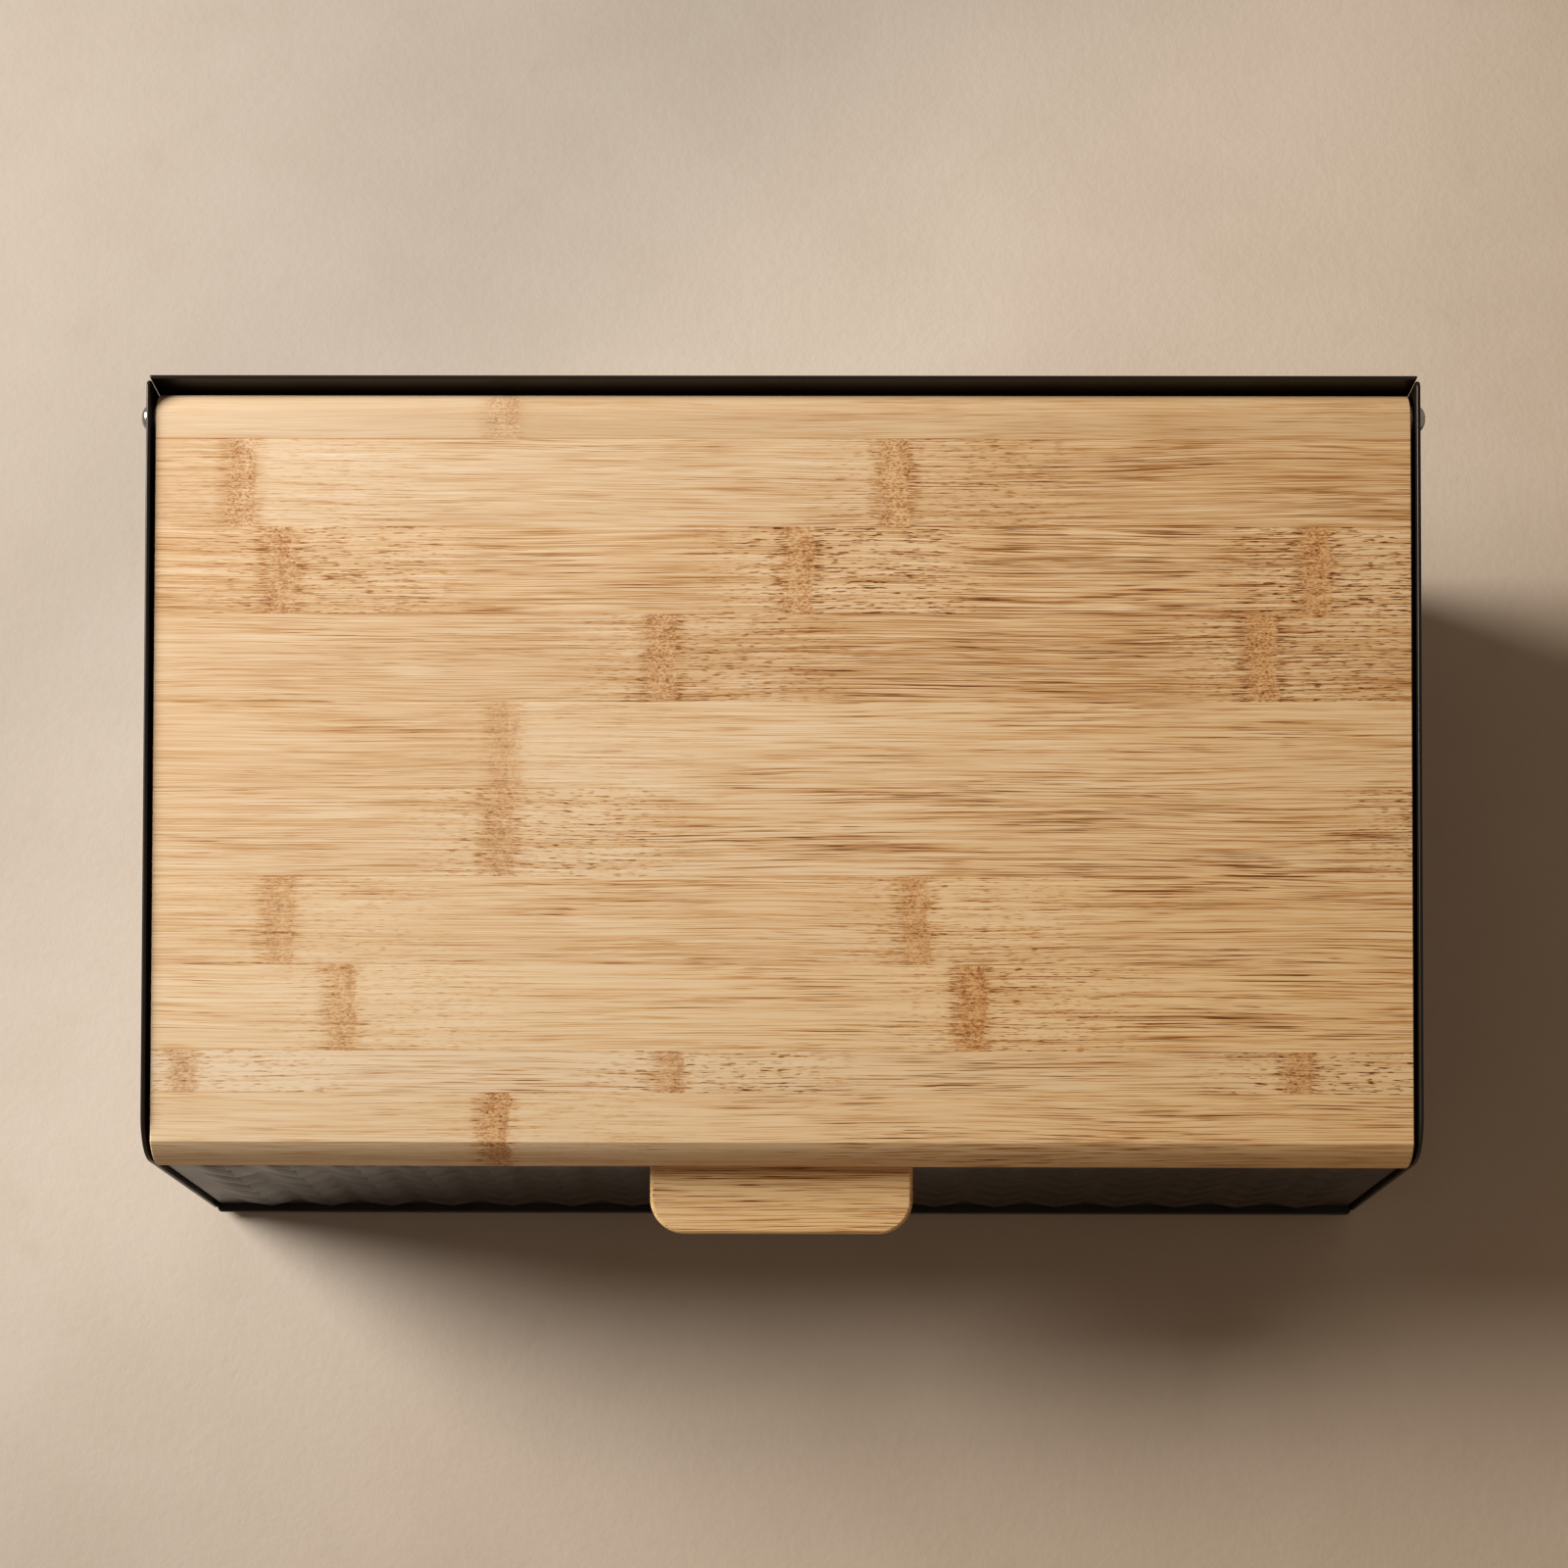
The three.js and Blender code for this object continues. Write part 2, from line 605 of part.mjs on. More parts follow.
const lid = new THREE.Group();
lid.position.set(0, pivotY, pivotZ);
lid.rotation.x = LID_SLOPE;
breadBox.add(lid);
lid.add(piece("lid_board", lidBoard(), bamboo()), piece("handle_tab", handleTab(), bamboo()));

sideNames.forEach((name, i) => {
  const outwards = (i ? 1 : -1) * (Math.PI / 2);
  const [screwX, screwY] = handleScrewPlaces()[i];
  const hardware = [
    piece(`pivot_screw_${name}`, pivotScrew(), polishedSteel()),
    piece(`pivot_washer_${name}`, pivotWasher(), nylon()),
    piece(`pivot_insert_${name}`, pivotInsert(), brass()),
  ];
  hardware.forEach((mesh) => {
    mesh.rotation.y = outwards;
    lid.add(mesh);
  });
  const screw = piece(`handle_screw_${name}`, handleScrew(), polishedSteel());
  screw.position.set(screwX, screwY, handleBottom);
  lid.add(screw);
});

export default breadBox;
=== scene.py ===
# Bread box: satin black sheet steel under a sloping bamboo lid board that swings up on two screws.
# Metres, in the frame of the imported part: +Z is up, the front faces -Y, the feet stand on z = 0.
import json
import math

import bmesh
import bpy
from mathutils import Matrix, Vector


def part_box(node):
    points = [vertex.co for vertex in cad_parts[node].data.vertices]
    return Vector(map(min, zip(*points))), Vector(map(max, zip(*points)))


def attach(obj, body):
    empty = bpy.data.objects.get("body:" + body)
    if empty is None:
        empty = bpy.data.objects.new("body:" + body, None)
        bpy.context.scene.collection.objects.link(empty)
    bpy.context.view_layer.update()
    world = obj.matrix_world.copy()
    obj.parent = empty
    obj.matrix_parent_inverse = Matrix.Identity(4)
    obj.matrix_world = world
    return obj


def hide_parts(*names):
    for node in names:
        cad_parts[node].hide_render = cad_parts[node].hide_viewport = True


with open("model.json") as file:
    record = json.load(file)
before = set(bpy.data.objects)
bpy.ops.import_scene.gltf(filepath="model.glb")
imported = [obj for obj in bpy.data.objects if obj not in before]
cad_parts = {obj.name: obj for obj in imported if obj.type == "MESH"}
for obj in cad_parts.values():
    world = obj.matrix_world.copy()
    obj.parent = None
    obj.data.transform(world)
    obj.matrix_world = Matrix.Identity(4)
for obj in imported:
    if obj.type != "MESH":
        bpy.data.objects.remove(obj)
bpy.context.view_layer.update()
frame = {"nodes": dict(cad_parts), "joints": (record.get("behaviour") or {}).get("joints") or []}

MM = 0.001

# Camera: the photograph's viewpoint
CAMERA_PLACE = (6.1 * MM, -220.95 * MM, 937.8 * MM)
CAMERA_DOWN = math.radians(74.26)
CAMERA_YAW = -0.0066
CAMERA_ROLL = 0.0017
FOCAL_PIXELS = 3010
PHOTO_PIXELS = 1600
SENSOR_WIDTH_MM = 36

# The lid's own frame: its origin on the hinge, its X and Y in the plane of the board
LID_SLOPE = math.radians(14)
LID_PIVOT = Vector(frame["joints"][0]["pos_m"])
LID_PLACE = Matrix.Translation(LID_PIVOT) @ Matrix.Rotation(LID_SLOPE, 4, "X")

# Steel sheets, in sizes that the frame's boxes don't give
SHEET = 1.2 * MM
WELD_GAP = 0.28 * MM  # closed at each end of the cross panels, where a real box is spot-welded
BACK_LAP = 0.5 * MM  # how far the back panel's outer face reaches over the side panels' rear ends
BEND_RADIUS = 1.0 * MM  # inside a fold
FOLD_STEPS = 6
EASED_EDGE = 0.5 * MM  # edges softened by paint
EASED_ANGLE = math.radians(50)  # where the surface turns by more than this
FLAT_ANGLE = math.radians(1)  # faces that differ by less are one
VENT_FACET = 1 * MM  # edges of the back panel up to this length, as at its vents, stay sharp
FRONT_END_FLANGE = 14 * MM
FRONT_FOOT_FLANGE = 14 * MM
FRONT_TOP_FLANGE = 11 * MM
BEND_RELIEF = 2 * MM  # from the end of a flange to the fold beside it, of which half is cut away
NOTCH_CLEARANCE = 2 * MM  # beside and under the tab, where it passes the front panel
NOTCH_RADIUS = 3 * MM
NOTCH_CUT = 5 * MM  # reach of the notch's cutter before and above the panel
NOTCH_CUT_BEHIND = 20 * MM  # and behind its face

# Lid board and handle tab
BOARD_FRONT_RADIUS = 14 * MM
BOARD_CREASE = math.radians(26)  # where the flat top meets the rounded front
BOARD_END_EDGE = 0.45 * MM
BOARD_FOOT_EDGE = 0.8 * MM
BOARD_ARC_STEPS = 14
FOOT_ARC_STEPS = 5
TAB_CORNER_RADIUS = 10 * MM
TAB_REAR_RADIUS = 2 * MM
TAB_EDGE = 1.25 * MM
TAB_SINK = 2.7 * MM  # depth of the countersinks for its screws

# Pivot screws, and wood screws through the handle tab
HEAD_RADIUS = 3.7 * MM
HEAD_HEIGHT = 2.6 * MM
HEAD_RIM = 0.25 * MM
SHANK_RADIUS = 2.0 * MM
PLAIN_SHANK = 3 * MM  # under the head
THREAD_PITCH = 0.7 * MM
THREAD_DEPTH = 0.35 * MM
THREAD_RUNOUT = 0.2 * MM
WOOD_HEAD_DEPTH = 2.4 * MM
WOOD_HEAD_RIM = 0.15 * MM
WOOD_SHANK_RADIUS = 1.75 * MM
WOOD_PITCH = 1.3 * MM
WOOD_THREAD_DEPTH = 0.45 * MM
WOOD_RUNOUT = 0.3 * MM
WOOD_POINT = 2.5 * MM
SLOT_HALF_WIDTH = 0.45 * MM
SLOT_REACH = 0.58  # of the head's radius
HOLE_CLEARANCE = 0.3 * MM  # round a shank or head
CUT_EXCESS = 1 * MM  # how far a cutter reaches past what it cuts
WASHER_EDGE = 0.1 * MM
INSERT_EDGE = 0.2 * MM

# Rubber feet and bumpers
SOLE_HEIGHT = 2.7 * MM
SOLE_EDGE = 0.3 * MM
NECK_RADIUS = 2.2 * MM  # where a foot passes the base plate
NECK_TOP = 6.0 * MM
BARB_RADIUS = 3.5 * MM
BARB_EDGE = 0.2 * MM
BUMPER_EDGE = 0.6 * MM

SAME = 1e-9  # two lengths that differ by less are taken as one
MERGE = 0.002 * MM  # vertices of a piece that are closer are one
CELL_LIMIT = 0.01 * MM  # cells of the front panel that are lower are left out
FACING_FRONT = Matrix(((1, 0, 0, 0), (0, 0, -1, 0), (0, 1, 0, 0), (0, 0, 0, 1)))  # Y up, Z to the front

# Raised pattern of the front panel: columns of overlapping scales with pointed lower ends
SCALE_COLUMNS = 18
SCALE_ROWS = 5  # whole ones, above which a sixth one starts
SCALE_WIDTH = 18.9 * MM
SCALE_HEIGHT = 15.2 * MM
SCALE_FOOT = 1.2 * MM  # plain sheet under the lowest points
SCALE_POINT = 8.5 * MM  # how far a scale's point hangs below its shoulders
SCALE_RISE = 0.95 * MM  # how far a scale's lower edge stands out from the plain sheet
SCALE_DIP = 0.55 * MM  # how far its top lies behind the plain sheet
SCALE_DROP_SHARE = 0.1  # of a scale's height, where it steps back under its lower edge
SCALE_BULGE = 1.15  # exponent of a scale's section from its lower edge up: more is fuller
POINT_BULGE = 0.9  # exponent of its lower edge: less is more pointed
POINT_SPREAD = 1.02  # makes the lower edge level close to the next column
SHOULDER_START = 0.5  # share of the way from a point to its shoulder, where the relief starts to fall
SHOULDER_RELIEF_SHARE = 0.2  # of the relief, left between two columns

# Strips of the lid board from the rear to the front: width in mm, tone, contrast of the grain, warmth,
# flecks, depth of its nodes' colour, and the nodes' places in mm from the middle
STRIPS = [
    (13.2, 0.34, 0.4, 0.34, 0.20, 0.55, (-78.6,)),
    (24.9, 0.31, 0.9, 0.45, 0.60, 0.85, (-152.6, 32.3)),
    (24.7, 0.35, 1.3, 0.52, 1.00, 0.75, (-141.3, 5.5, 151.1)),
    (24.7, 0.32, 1.1, 0.50, 0.80, 0.80, (-33.5, 135.9)),
    (24.6, 0.24, 1.0, 0.55, 0.30, 0.45, (-77.3, 193.0)),
    (24.8, 0.25, 1.4, 0.57, 0.90, 0.55, (-78.6, 186.0)),
    (24.8, 0.15, 1.2, 0.62, 0.60, 0.60, (-140.9, 38.2)),
    (24.2, 0.07, 1.4, 0.66, 0.70, 0.75, (-123.4, 53.9)),
    (11.8, -0.02, 1.7, 0.60, 0.90, 0.65, (-168.2, -30.9, 146.0)),
    (21.3, 0.08, 1.5, 0.66, 0.40, 0.90, (-79.9,)),
]
TAB_STRIP = (38, 0.02, 2.2, 0.80, 0.0, 0.0, ())
NOWHERE = 9000.0  # place in mm of a node that a strip doesn't have


def add_camera():
    """The camera, set as the photograph was taken."""
    data = bpy.data.cameras.new("camera")
    data.sensor_width = SENSOR_WIDTH_MM
    data.lens = FOCAL_PIXELS / PHOTO_PIXELS * SENSOR_WIDTH_MM
    data.clip_start = 0.01
    camera = bpy.data.objects.new("camera", data)
    camera.matrix_world = (
        Matrix.Translation(CAMERA_PLACE)
        @ Matrix.Rotation(math.pi / 2 - CAMERA_DOWN, 4, "X")
        @ Matrix.Rotation(-CAMERA_YAW, 4, "Y")
        @ Matrix.Rotation(CAMERA_ROLL, 4, "Z")
    )
    bpy.context.scene.collection.objects.link(camera)
    bpy.context.scene.camera = camera


add_camera()


# Materials

MIX_A = 6  # a Mix node's inputs for two colours
MIX_B = 7
MIX_RESULT = 2  # and its output for the mixed one


class Nodes:
    """A material's nodes, written as calls that each return the socket with their result."""

    def __init__(self, name):
        self.material = bpy.data.materials.new(name)
        self.material.use_nodes = True
        self.tree = self.material.node_tree
        self.shader = self.tree.nodes["Principled BSDF"]

    def put(self, socket, value):
        if isinstance(value, bpy.types.NodeSocket):
            self.tree.links.new(value, socket)
        else:
            socket.default_value = value

    def add(self, kind, inputs=None, output=0, **settings):
        node = self.tree.nodes.new("ShaderNode" + kind)
        for key, value in settings.items():
            setattr(node, key, value)
        for key, value in (inputs or {}).items():
            self.put(node.inputs[key], value)
        return node.outputs[output]

    def shade(self, **inputs):
        """Sets the shader's inputs, each named with _ for its spaces."""
        for key, value in inputs.items():
            self.put(self.shader.inputs[key.replace("_", " ")], value)

    def math(self, operation, a, b=0.0):
        return self.add("Math", {0: a, 1: b}, operation=operation)

    def chain(self, operation, result, *others):
        for other in others:
            result = self.math(operation, result, other)
        return result

    def plus(self, *values):
        return self.chain("ADD", *values)

    def times(self, *values):
        return self.chain("MULTIPLY", *values)

    def minus(self, a, b):
        return self.math("SUBTRACT", a, b)

    def nearest(self, least, offset):
        """The least distance so far, or the length of an offset where that is less."""
        return self.math("MINIMUM", least, self.math("ABSOLUTE", offset))

    def vector(self, x=0.0, y=0.0, z=0.0):
        return self.add("CombineXYZ", {0: x, 1: y, 2: z})

    def split(self, vector):
        node = self.tree.nodes.new("ShaderNodeSeparateXYZ")
        self.put(node.inputs[0], vector)
        return node.outputs

    def shift(self, vector, by):
        return self.add("VectorMath", {0: vector, 1: by}, operation="ADD")

    def stretch(self, vector, by):
        return self.add("VectorMath", {0: vector, 1: by}, operation="MULTIPLY")

    def fade(self, value, low, high, to_low=0.0, to_high=1.0):
        limits = {1: low, 2: high, 3: to_low, 4: to_high}
        return self.add("MapRange", {0: value, **limits}, interpolation_type="SMOOTHSTEP")

    def noise(self, vector, detail=1.0, roughness=0.5):
        inputs = {"Vector": vector, "Scale": 1.0, "Detail": detail, "Roughness": roughness}
        return self.add("TexNoise", inputs)

    def even_noise(self, vector, density, detail=1.0, roughness=0.5):
        """Noise with about so many marks per mm in every direction."""
        return self.noise(self.stretch(vector, (density, density, density)), detail, roughness)

    def sway(self, value, reach):
        """A noise value turned into a swing of about reach to either side of zero."""
        return self.times(self.minus(value, 0.5), 2 * reach)

    def grain(self, vector, length, width, detail=1.0):
        """Noise drawn out along X, with marks about so long and wide in mm."""
        return self.noise(self.stretch(vector, (1 / length, 1 / width, 1 / width)), detail)

    def mix(self, share, a, b):
        inputs = {0: share, MIX_A: a, MIX_B: b}
        return self.add("Mix", inputs, output=MIX_RESULT, data_type="RGBA")

    def ramp(self, value, stops):
        node = self.tree.nodes.new("ShaderNodeValToRGB")
        elements = node.color_ramp.elements
        while len(elements) < len(stops):
            elements.new(0.5)
        for element, (place, colour) in zip(elements, stops):
            element.position = place
            element.color = (*colour, 1)
        self.put(node.inputs[0], value)
        return node.outputs[0]

    def bump(self, height, depth, strength):
        inputs = {"Height": height, "Distance": depth, "Strength": strength}
        return self.add("Bump", inputs)

    def attribute(self, name):
        return self.add("Attribute", attribute_name=name, output="Vector")

    def here(self):
        """The place on the piece, in mm."""
        place = self.add("TexCoord", output="Object")
        return self.stretch(place, (1 / MM, 1 / MM, 1 / MM))


BAMBOO_TONES = [
    (0.00, (0.93, 0.73, 0.48)),
    (0.30, (0.80, 0.54, 0.285)),
    (0.50, (0.64, 0.36, 0.145)),
    (0.72, (0.40, 0.165, 0.042)),
    (1.00, (0.15, 0.042, 0.008)),
]
NODE_TONES = [
    (0.00, (0.87, 0.59, 0.31)),
    (0.40, (0.65, 0.35, 0.14)),
    (0.70, (0.42, 0.155, 0.042)),
    (1.00, (0.17, 0.06, 0.015)),
]
NODE_LEFT = 4.2  # mm from a node's middle to its frayed left edge
NODE_RIGHT = 3.6  # mm to its cleaner right edge
LEFT_FRAY = 5.0  # mm by which the fibres pull the left edge to and fro
RIGHT_FRAY = 1.2  # and the right edge
LEFT_BLUR = (-2.2, 1.6)  # mm from the left edge between which a node sets in
RIGHT_BLUR = (-0.7, 0.6)  # mm from the right edge between which it ends
STAIN_OFFSET = 0.8  # mm to the left of a node, where the stain round it has its middle
STAIN_BLUR = (4, 9)  # mm from there between which the stain ends
FLECK_OFFSET = 12.0  # mm to the right of a node, where its flecks are densest
FLECK_BLUR = (14, 52)  # mm from there between which they thin out
NODE_FADE = (0.85, 1.15)  # strength of the nodes at the left and at the right of the board
BOARD_ENDS = (-180, 180)  # mm from the middle
LEFT_PAINTED_SHADE = 0.05  # painted shade: how much darker the strips are at their left end, which evens out the lamp's stronger light there
LEFT_WOOD_AND_LIGHT_TINT = (0.945, 1.0, 1.14, 1)  # the wood's colour also warms from left to right: partly its own drift, partly a painted tint for the warmer, dimmer light towards the right
RIGHT_WOOD_AND_LIGHT_TINT = (1.0, 0.93, 0.82, 1)
COOL_TINT = (0.92, 1.14, 1.52, 1)  # of a strip whose warmth is 0
WARM_TINT = (1.08, 0.86, 0.48, 1)  # of a strip whose warmth is 1
GRAIN_LEFT = 0.5  # contrast of the grain at the left end of a strip
GRAIN_RIGHT = 1.25  # and at its right end


def bamboo():
    """Oiled bamboo. Its strips' looks, nodes and edges come from attributes of the mesh."""
    m = Nodes("bamboo")
    own = m.here()
    seed, tone, strength = m.split(m.attribute("strip_look"))
    warmth, flecks, node_depth = m.split(m.attribute("strip_marks"))
    node_places = m.split(m.attribute("strip_nodes"))
    rear, front, _ = m.split(m.attribute("strip_edges"))
    x, y, _ = m.split(own)

    # Every strip shows another stretch of the grain, which wavers a little
    place = m.shift(own, m.vector(m.times(seed, 911), m.times(seed, 373), m.times(seed, 177)))
    wave = m.sway(m.grain(place, 110, 30), 1.9)
    ripple = m.sway(m.grain(place, 16, 5), 0.1)
    place = m.shift(place, m.vector(0.0, m.plus(wave, ripple)))

    # Nodes: bands with a frayed left edge. Flecks lie round them, further to the right
    comb = m.grain(place, 11, 0.5, 2.0)
    drift = m.sway(m.grain(place, 30, 5), 2.2)
    frayed_left = m.plus(x, m.sway(comb, LEFT_FRAY), drift)
    frayed_right = m.plus(x, m.sway(comb, RIGHT_FRAY), drift)
    sets_in = [blur - NODE_LEFT for blur in LEFT_BLUR]
    ends = [NODE_RIGHT + blur for blur in RIGHT_BLUR]
    band = 0.0
    node_gap = NOWHERE
    fleck_gap = NOWHERE
    passed = 0.0
    for node_place in node_places:
        rise = m.fade(m.minus(frayed_left, node_place), *sets_in)
        fall = m.fade(m.minus(frayed_right, node_place), *ends, 1.0, 0.0)
        band = m.plus(band, m.times(rise, fall))
        off = m.minus(x, node_place)
        node_gap = m.nearest(node_gap, m.plus(off, STAIN_OFFSET))
        fleck_gap = m.nearest(fleck_gap, m.minus(off, FLECK_OFFSET))
        passed = m.plus(passed, m.math("GREATER_THAN", off, 0.0))
    stretch_key = m.vector(m.times(seed, 97.0), passed)
    stretch_tone = m.add("TexWhiteNoise", {"Vector": stretch_key}, noise_dimensions="2D")
    near_node = m.times(m.fade(fleck_gap, *FLECK_BLUR, 1.0, 0.0), flecks)
    beside_node = m.times(m.fade(node_gap, *STAIN_BLUR, 1.0, 0.0), node_depth)

    # Fibres: soft bands, fine lines, long brown streaks, short flecks and smudges
    soft = m.sway(m.grain(place, 60, 6), 0.08)
    lines = m.sway(m.grain(place, 110, 0.6, 2.0), 0.2)
    fine = m.sway(m.grain(place, 34, 0.25, 2.0), 0.8)
    zone = m.fade(m.grain(place, 60, 9), 0.36, 0.64, 0.3, 1.0)
    streaks = m.fade(m.grain(place, 24, 0.27), 0.55, 0.65)
    streaks = m.times(streaks, zone, m.fade(near_node, 0.0, 1.0, 0.40, 0.2))
    dark_streaks = m.fade(m.grain(place, 14, 0.29), 0.63, 0.72)
    dark_streaks = m.times(dark_streaks, zone, 0.42)
    marks = m.fade(m.grain(place, 3.6, 0.36), 0.56, 0.68)
    marks = m.minus(m.times(marks, near_node, 0.52), m.times(near_node, 0.05))
    dashes = m.fade(m.grain(place, 4.2, 0.34), 0.50, 0.64)
    dashes = m.times(dashes, beside_node, 0.5)
    smudges = m.times(m.fade(m.grain(place, 30, 2.6, 2.0), 0.60, 0.80), 0.24)
    edge_gap = m.math("MINIMUM", m.minus(rear, y), m.minus(y, front))
    joint_strength = m.fade(m.grain(place, 50, 9), 0.36, 0.66, 0.04, 0.26)
    joint = m.times(m.fade(edge_gap, 0.05, 0.4, 1.0, 0.0), joint_strength)
    stain = m.times(beside_node, 0.06)
    along = m.fade(x, *BOARD_ENDS)
    # Painted shade: the strips are darker at the left, where the lamp's light is strongest
    painted_shade_left = m.times(m.minus(0.5, along), LEFT_PAINTED_SHADE)
    contrast = m.times(m.fade(x, -160, 150, GRAIN_LEFT, GRAIN_RIGHT), strength)
    grain = m.plus(lines, fine, streaks, dark_streaks, marks, dashes, smudges)
    grain = m.times(grain, contrast)
    shade = m.plus(tone, m.sway(stretch_tone, 0.07), soft, grain, joint, stain, painted_shade_left)
    wood = m.ramp(shade, BAMBOO_TONES)

    # Inside a node: brown grains and a few pores
    speckle = m.sway(m.noise(m.stretch(place, (1.0, 2.2, 2.2)), 2.0, 0.7), 1.2)
    combed = m.sway(comb, 0.5)
    clouds = m.sway(m.grain(place, 4, 6), 0.35)
    cells = {"Vector": m.stretch(own, (0.24, 0.24, 0.0)), "Scale": 1.0}
    pores = m.add("TexVoronoi", cells, output="Distance", voronoi_dimensions="2D")
    pores = m.times(m.fade(pores, 0.06, 0.11, 1.0, 0.0), m.fade(clouds, -0.04, 0.04, 0.1, 0.6))
    node_shade = m.plus(0.38, speckle, combed, clouds, pores, painted_shade_left)
    node_wood = m.ramp(node_shade, NODE_TONES)
    node_share = m.times(band, m.times(node_depth, m.fade(x, -160, 100, *NODE_FADE)))
    # The tint warms the wood from left to right, partly its own drift and partly painted light, and by
    # the strip's own warmth
    tint = m.stretch(m.mix(along, LEFT_WOOD_AND_LIGHT_TINT, RIGHT_WOOD_AND_LIGHT_TINT), m.mix(warmth, COOL_TINT, WARM_TINT))
    m.shade(Base_Color=m.stretch(m.mix(node_share, wood, node_wood), tint))

    height = m.minus(1.0, m.plus(streaks, dark_streaks, marks, m.times(fine, 0.6)))
    m.shade(
        Roughness=m.fade(shade, 0.1, 0.9, 0.6, 0.76),
        Normal=m.bump(height, 0.05 * MM, 0.6),
        Specular_IOR_Level=0.18,
    )
    return m.material


def black_coat():
    """Satin black powder coat: a faint orange peel, uneven gloss and a little dust."""
    m = Nodes("black_coat")
    place = m.here()
    peel = m.even_noise(place, 1.1, 2.0)
    grit = m.even_noise(place, 6.0)
    clouds = m.even_noise(place, 0.03, 3.0, 0.6)
    dust = m.times(m.fade(grit, 0.66, 0.8), m.fade(clouds, 0.4, 0.7))
    m.shade(
        Base_Color=m.mix(m.times(dust, 0.5), (0.0120, 0.0074, 0.0040, 1), (0.045, 0.032, 0.023, 1)),
        Roughness=m.plus(m.fade(clouds, 0.3, 0.7, 0.28, 0.38), m.times(dust, 0.2)),
        Normal=m.bump(m.plus(peel, m.times(grit, 0.15)), 0.02 * MM, 0.5),
        Specular_IOR_Level=0.24,
    )
    return m.material


def turned_metal(name, colour, roughness):
    """Metal with the fine rings that turning leaves round its axis, the piece's own Z."""
    m = Nodes(name)
    place = m.here()
    x, y, z = m.split(place)
    radius = m.math("SQRT", m.plus(m.times(x, x), m.times(y, y)))
    rings = m.noise(m.vector(m.times(radius, 9.0), m.times(z, 9.0)), 2.0)
    blotches = m.even_noise(place, 0.7, 2.0)
    dark = (*(channel * 0.72 for channel in colour), 1)
    m.shade(
        Base_Color=m.mix(m.fade(blotches, 0.3, 0.75), (*colour, 1), dark),
        Roughness=m.plus(roughness, m.sway(rings, 0.08)),
        Normal=m.bump(rings, 0.01 * MM, 0.4),
        Metallic=1.0,
    )
    return m.material


def moulded(name, colour, roughness, texture):
    """Moulded nylon or rubber, with a fine matte texture of the given size in mm."""
    m = Nodes(name)
    place = m.here()
    fine = m.even_noise(place, 1 / texture, 2.0)
    clouds = m.even_noise(place, 0.25, 2.0)
    dark = (*(channel * 0.8 for channel in colour), 1)
    m.shade(
        Base_Color=m.mix(m.fade(clouds, 0.3, 0.7), (*colour, 1), dark),
        Roughness=m.fade(clouds, 0.3, 0.7, roughness - 0.05, roughness + 0.05),
        Normal=m.bump(fine, 0.03 * MM, 0.5),
    )
    return m.material


# The material of each slot
MATERIALS = {
    "bamboo": bamboo(),
    "black_steel": black_coat(),
    "screw_steel": turned_metal("screw_steel", (0.36, 0.34, 0.31), 0.2),
    "brass": turned_metal("brass", (0.72, 0.55, 0.28), 0.3),
    "nylon": moulded("nylon", (0.8, 0.78, 0.72), 0.45, 0.3),
    "rubber": moulded("rubber", (0.022, 0.021, 0.02), 0.75, 0.25),
}


# Shapes

def build(name, vertices, faces):
    """An object from vertices and the faces between them."""
    mesh = bpy.data.meshes.new(name)
    mesh.from_pydata([tuple(v) for v in vertices], [], faces)
    mesh.validate()
    made = bpy.data.objects.new(name, mesh)
    bpy.context.scene.collection.objects.link(made)
    return made


def clean(piece, merge=0.0):
    """Joins vertices that are closer than merge, and turns a closed mesh's faces outwards."""
    shape = bmesh.new()
    shape.from_mesh(piece.data)
    if merge:
        bmesh.ops.remove_doubles(shape, verts=shape.verts, dist=merge)
    bmesh.ops.recalc_face_normals(shape, faces=shape.faces)
    shape.to_mesh(piece.data)
    shape.free()


def smooth(piece, angle):
    """Smooth shading up to an angle in degrees, with flat faces kept flat beside small curves."""
    piece.data.polygons.foreach_set("use_smooth", [True] * len(piece.data.polygons))
    piece.data.set_sharp_from_angle(angle=math.radians(angle))
    weights = piece.modifiers.new("weights", "WEIGHTED_NORMAL")
    weights.keep_sharp = True


def apply_modifiers(piece):
    """Bakes a piece's modifiers into its mesh."""
    shown = piece.evaluated_get(bpy.context.evaluated_depsgraph_get())
    mesh = bpy.data.meshes.new_from_object(shown)
    piece.modifiers.clear()
    piece.data = mesh


def subtract(piece, *cutters):
    """Cuts closed shapes out of a piece and removes them."""
    bpy.context.view_layer.update()
    for cutter in cutters:
        cut = piece.modifiers.new("cut", "BOOLEAN")
        cut.operation = "DIFFERENCE"
        cut.solver = "EXACT"
        cut.object = cutter
    apply_modifiers(piece)
    for cutter in cutters:
        bpy.data.objects.remove(cutter)


def mount(piece, node, body, slot, angle=30):
    """Finishes a piece: it stands for a CAD node, rides on a body and has its slot's material."""
    piece.data.materials.clear()
    piece.data.materials.append(MATERIALS[slot])
    smooth(piece, angle)
    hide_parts(node)
    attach(piece, body)


def arc(centre, radius, start, end, steps):
    """Points of an arc, its angles in radians."""
    angles = [start + (end - start) * k / steps for k in range(steps + 1)]
    return [
        Vector((centre[0] + radius * math.cos(a), centre[1] + radius * math.sin(a))) for a in angles
    ]


def fillet(corner, before, after, radius, steps):
    """Points that round a corner whose edges leave along the unit directions before and after."""
    half = math.acos(max(-1.0, min(1.0, before.dot(after)))) / 2
    middle = (before + after).normalized()
    centre = corner + middle * (radius / math.sin(half))
    start = corner + before * (radius / math.tan(half)) - centre
    sweep = math.pi - 2 * half
    turn = math.copysign(sweep, after.x * before.y - after.y * before.x)
    return [centre + Matrix.Rotation(turn * k / steps, 2) @ start for k in range(steps + 1)]


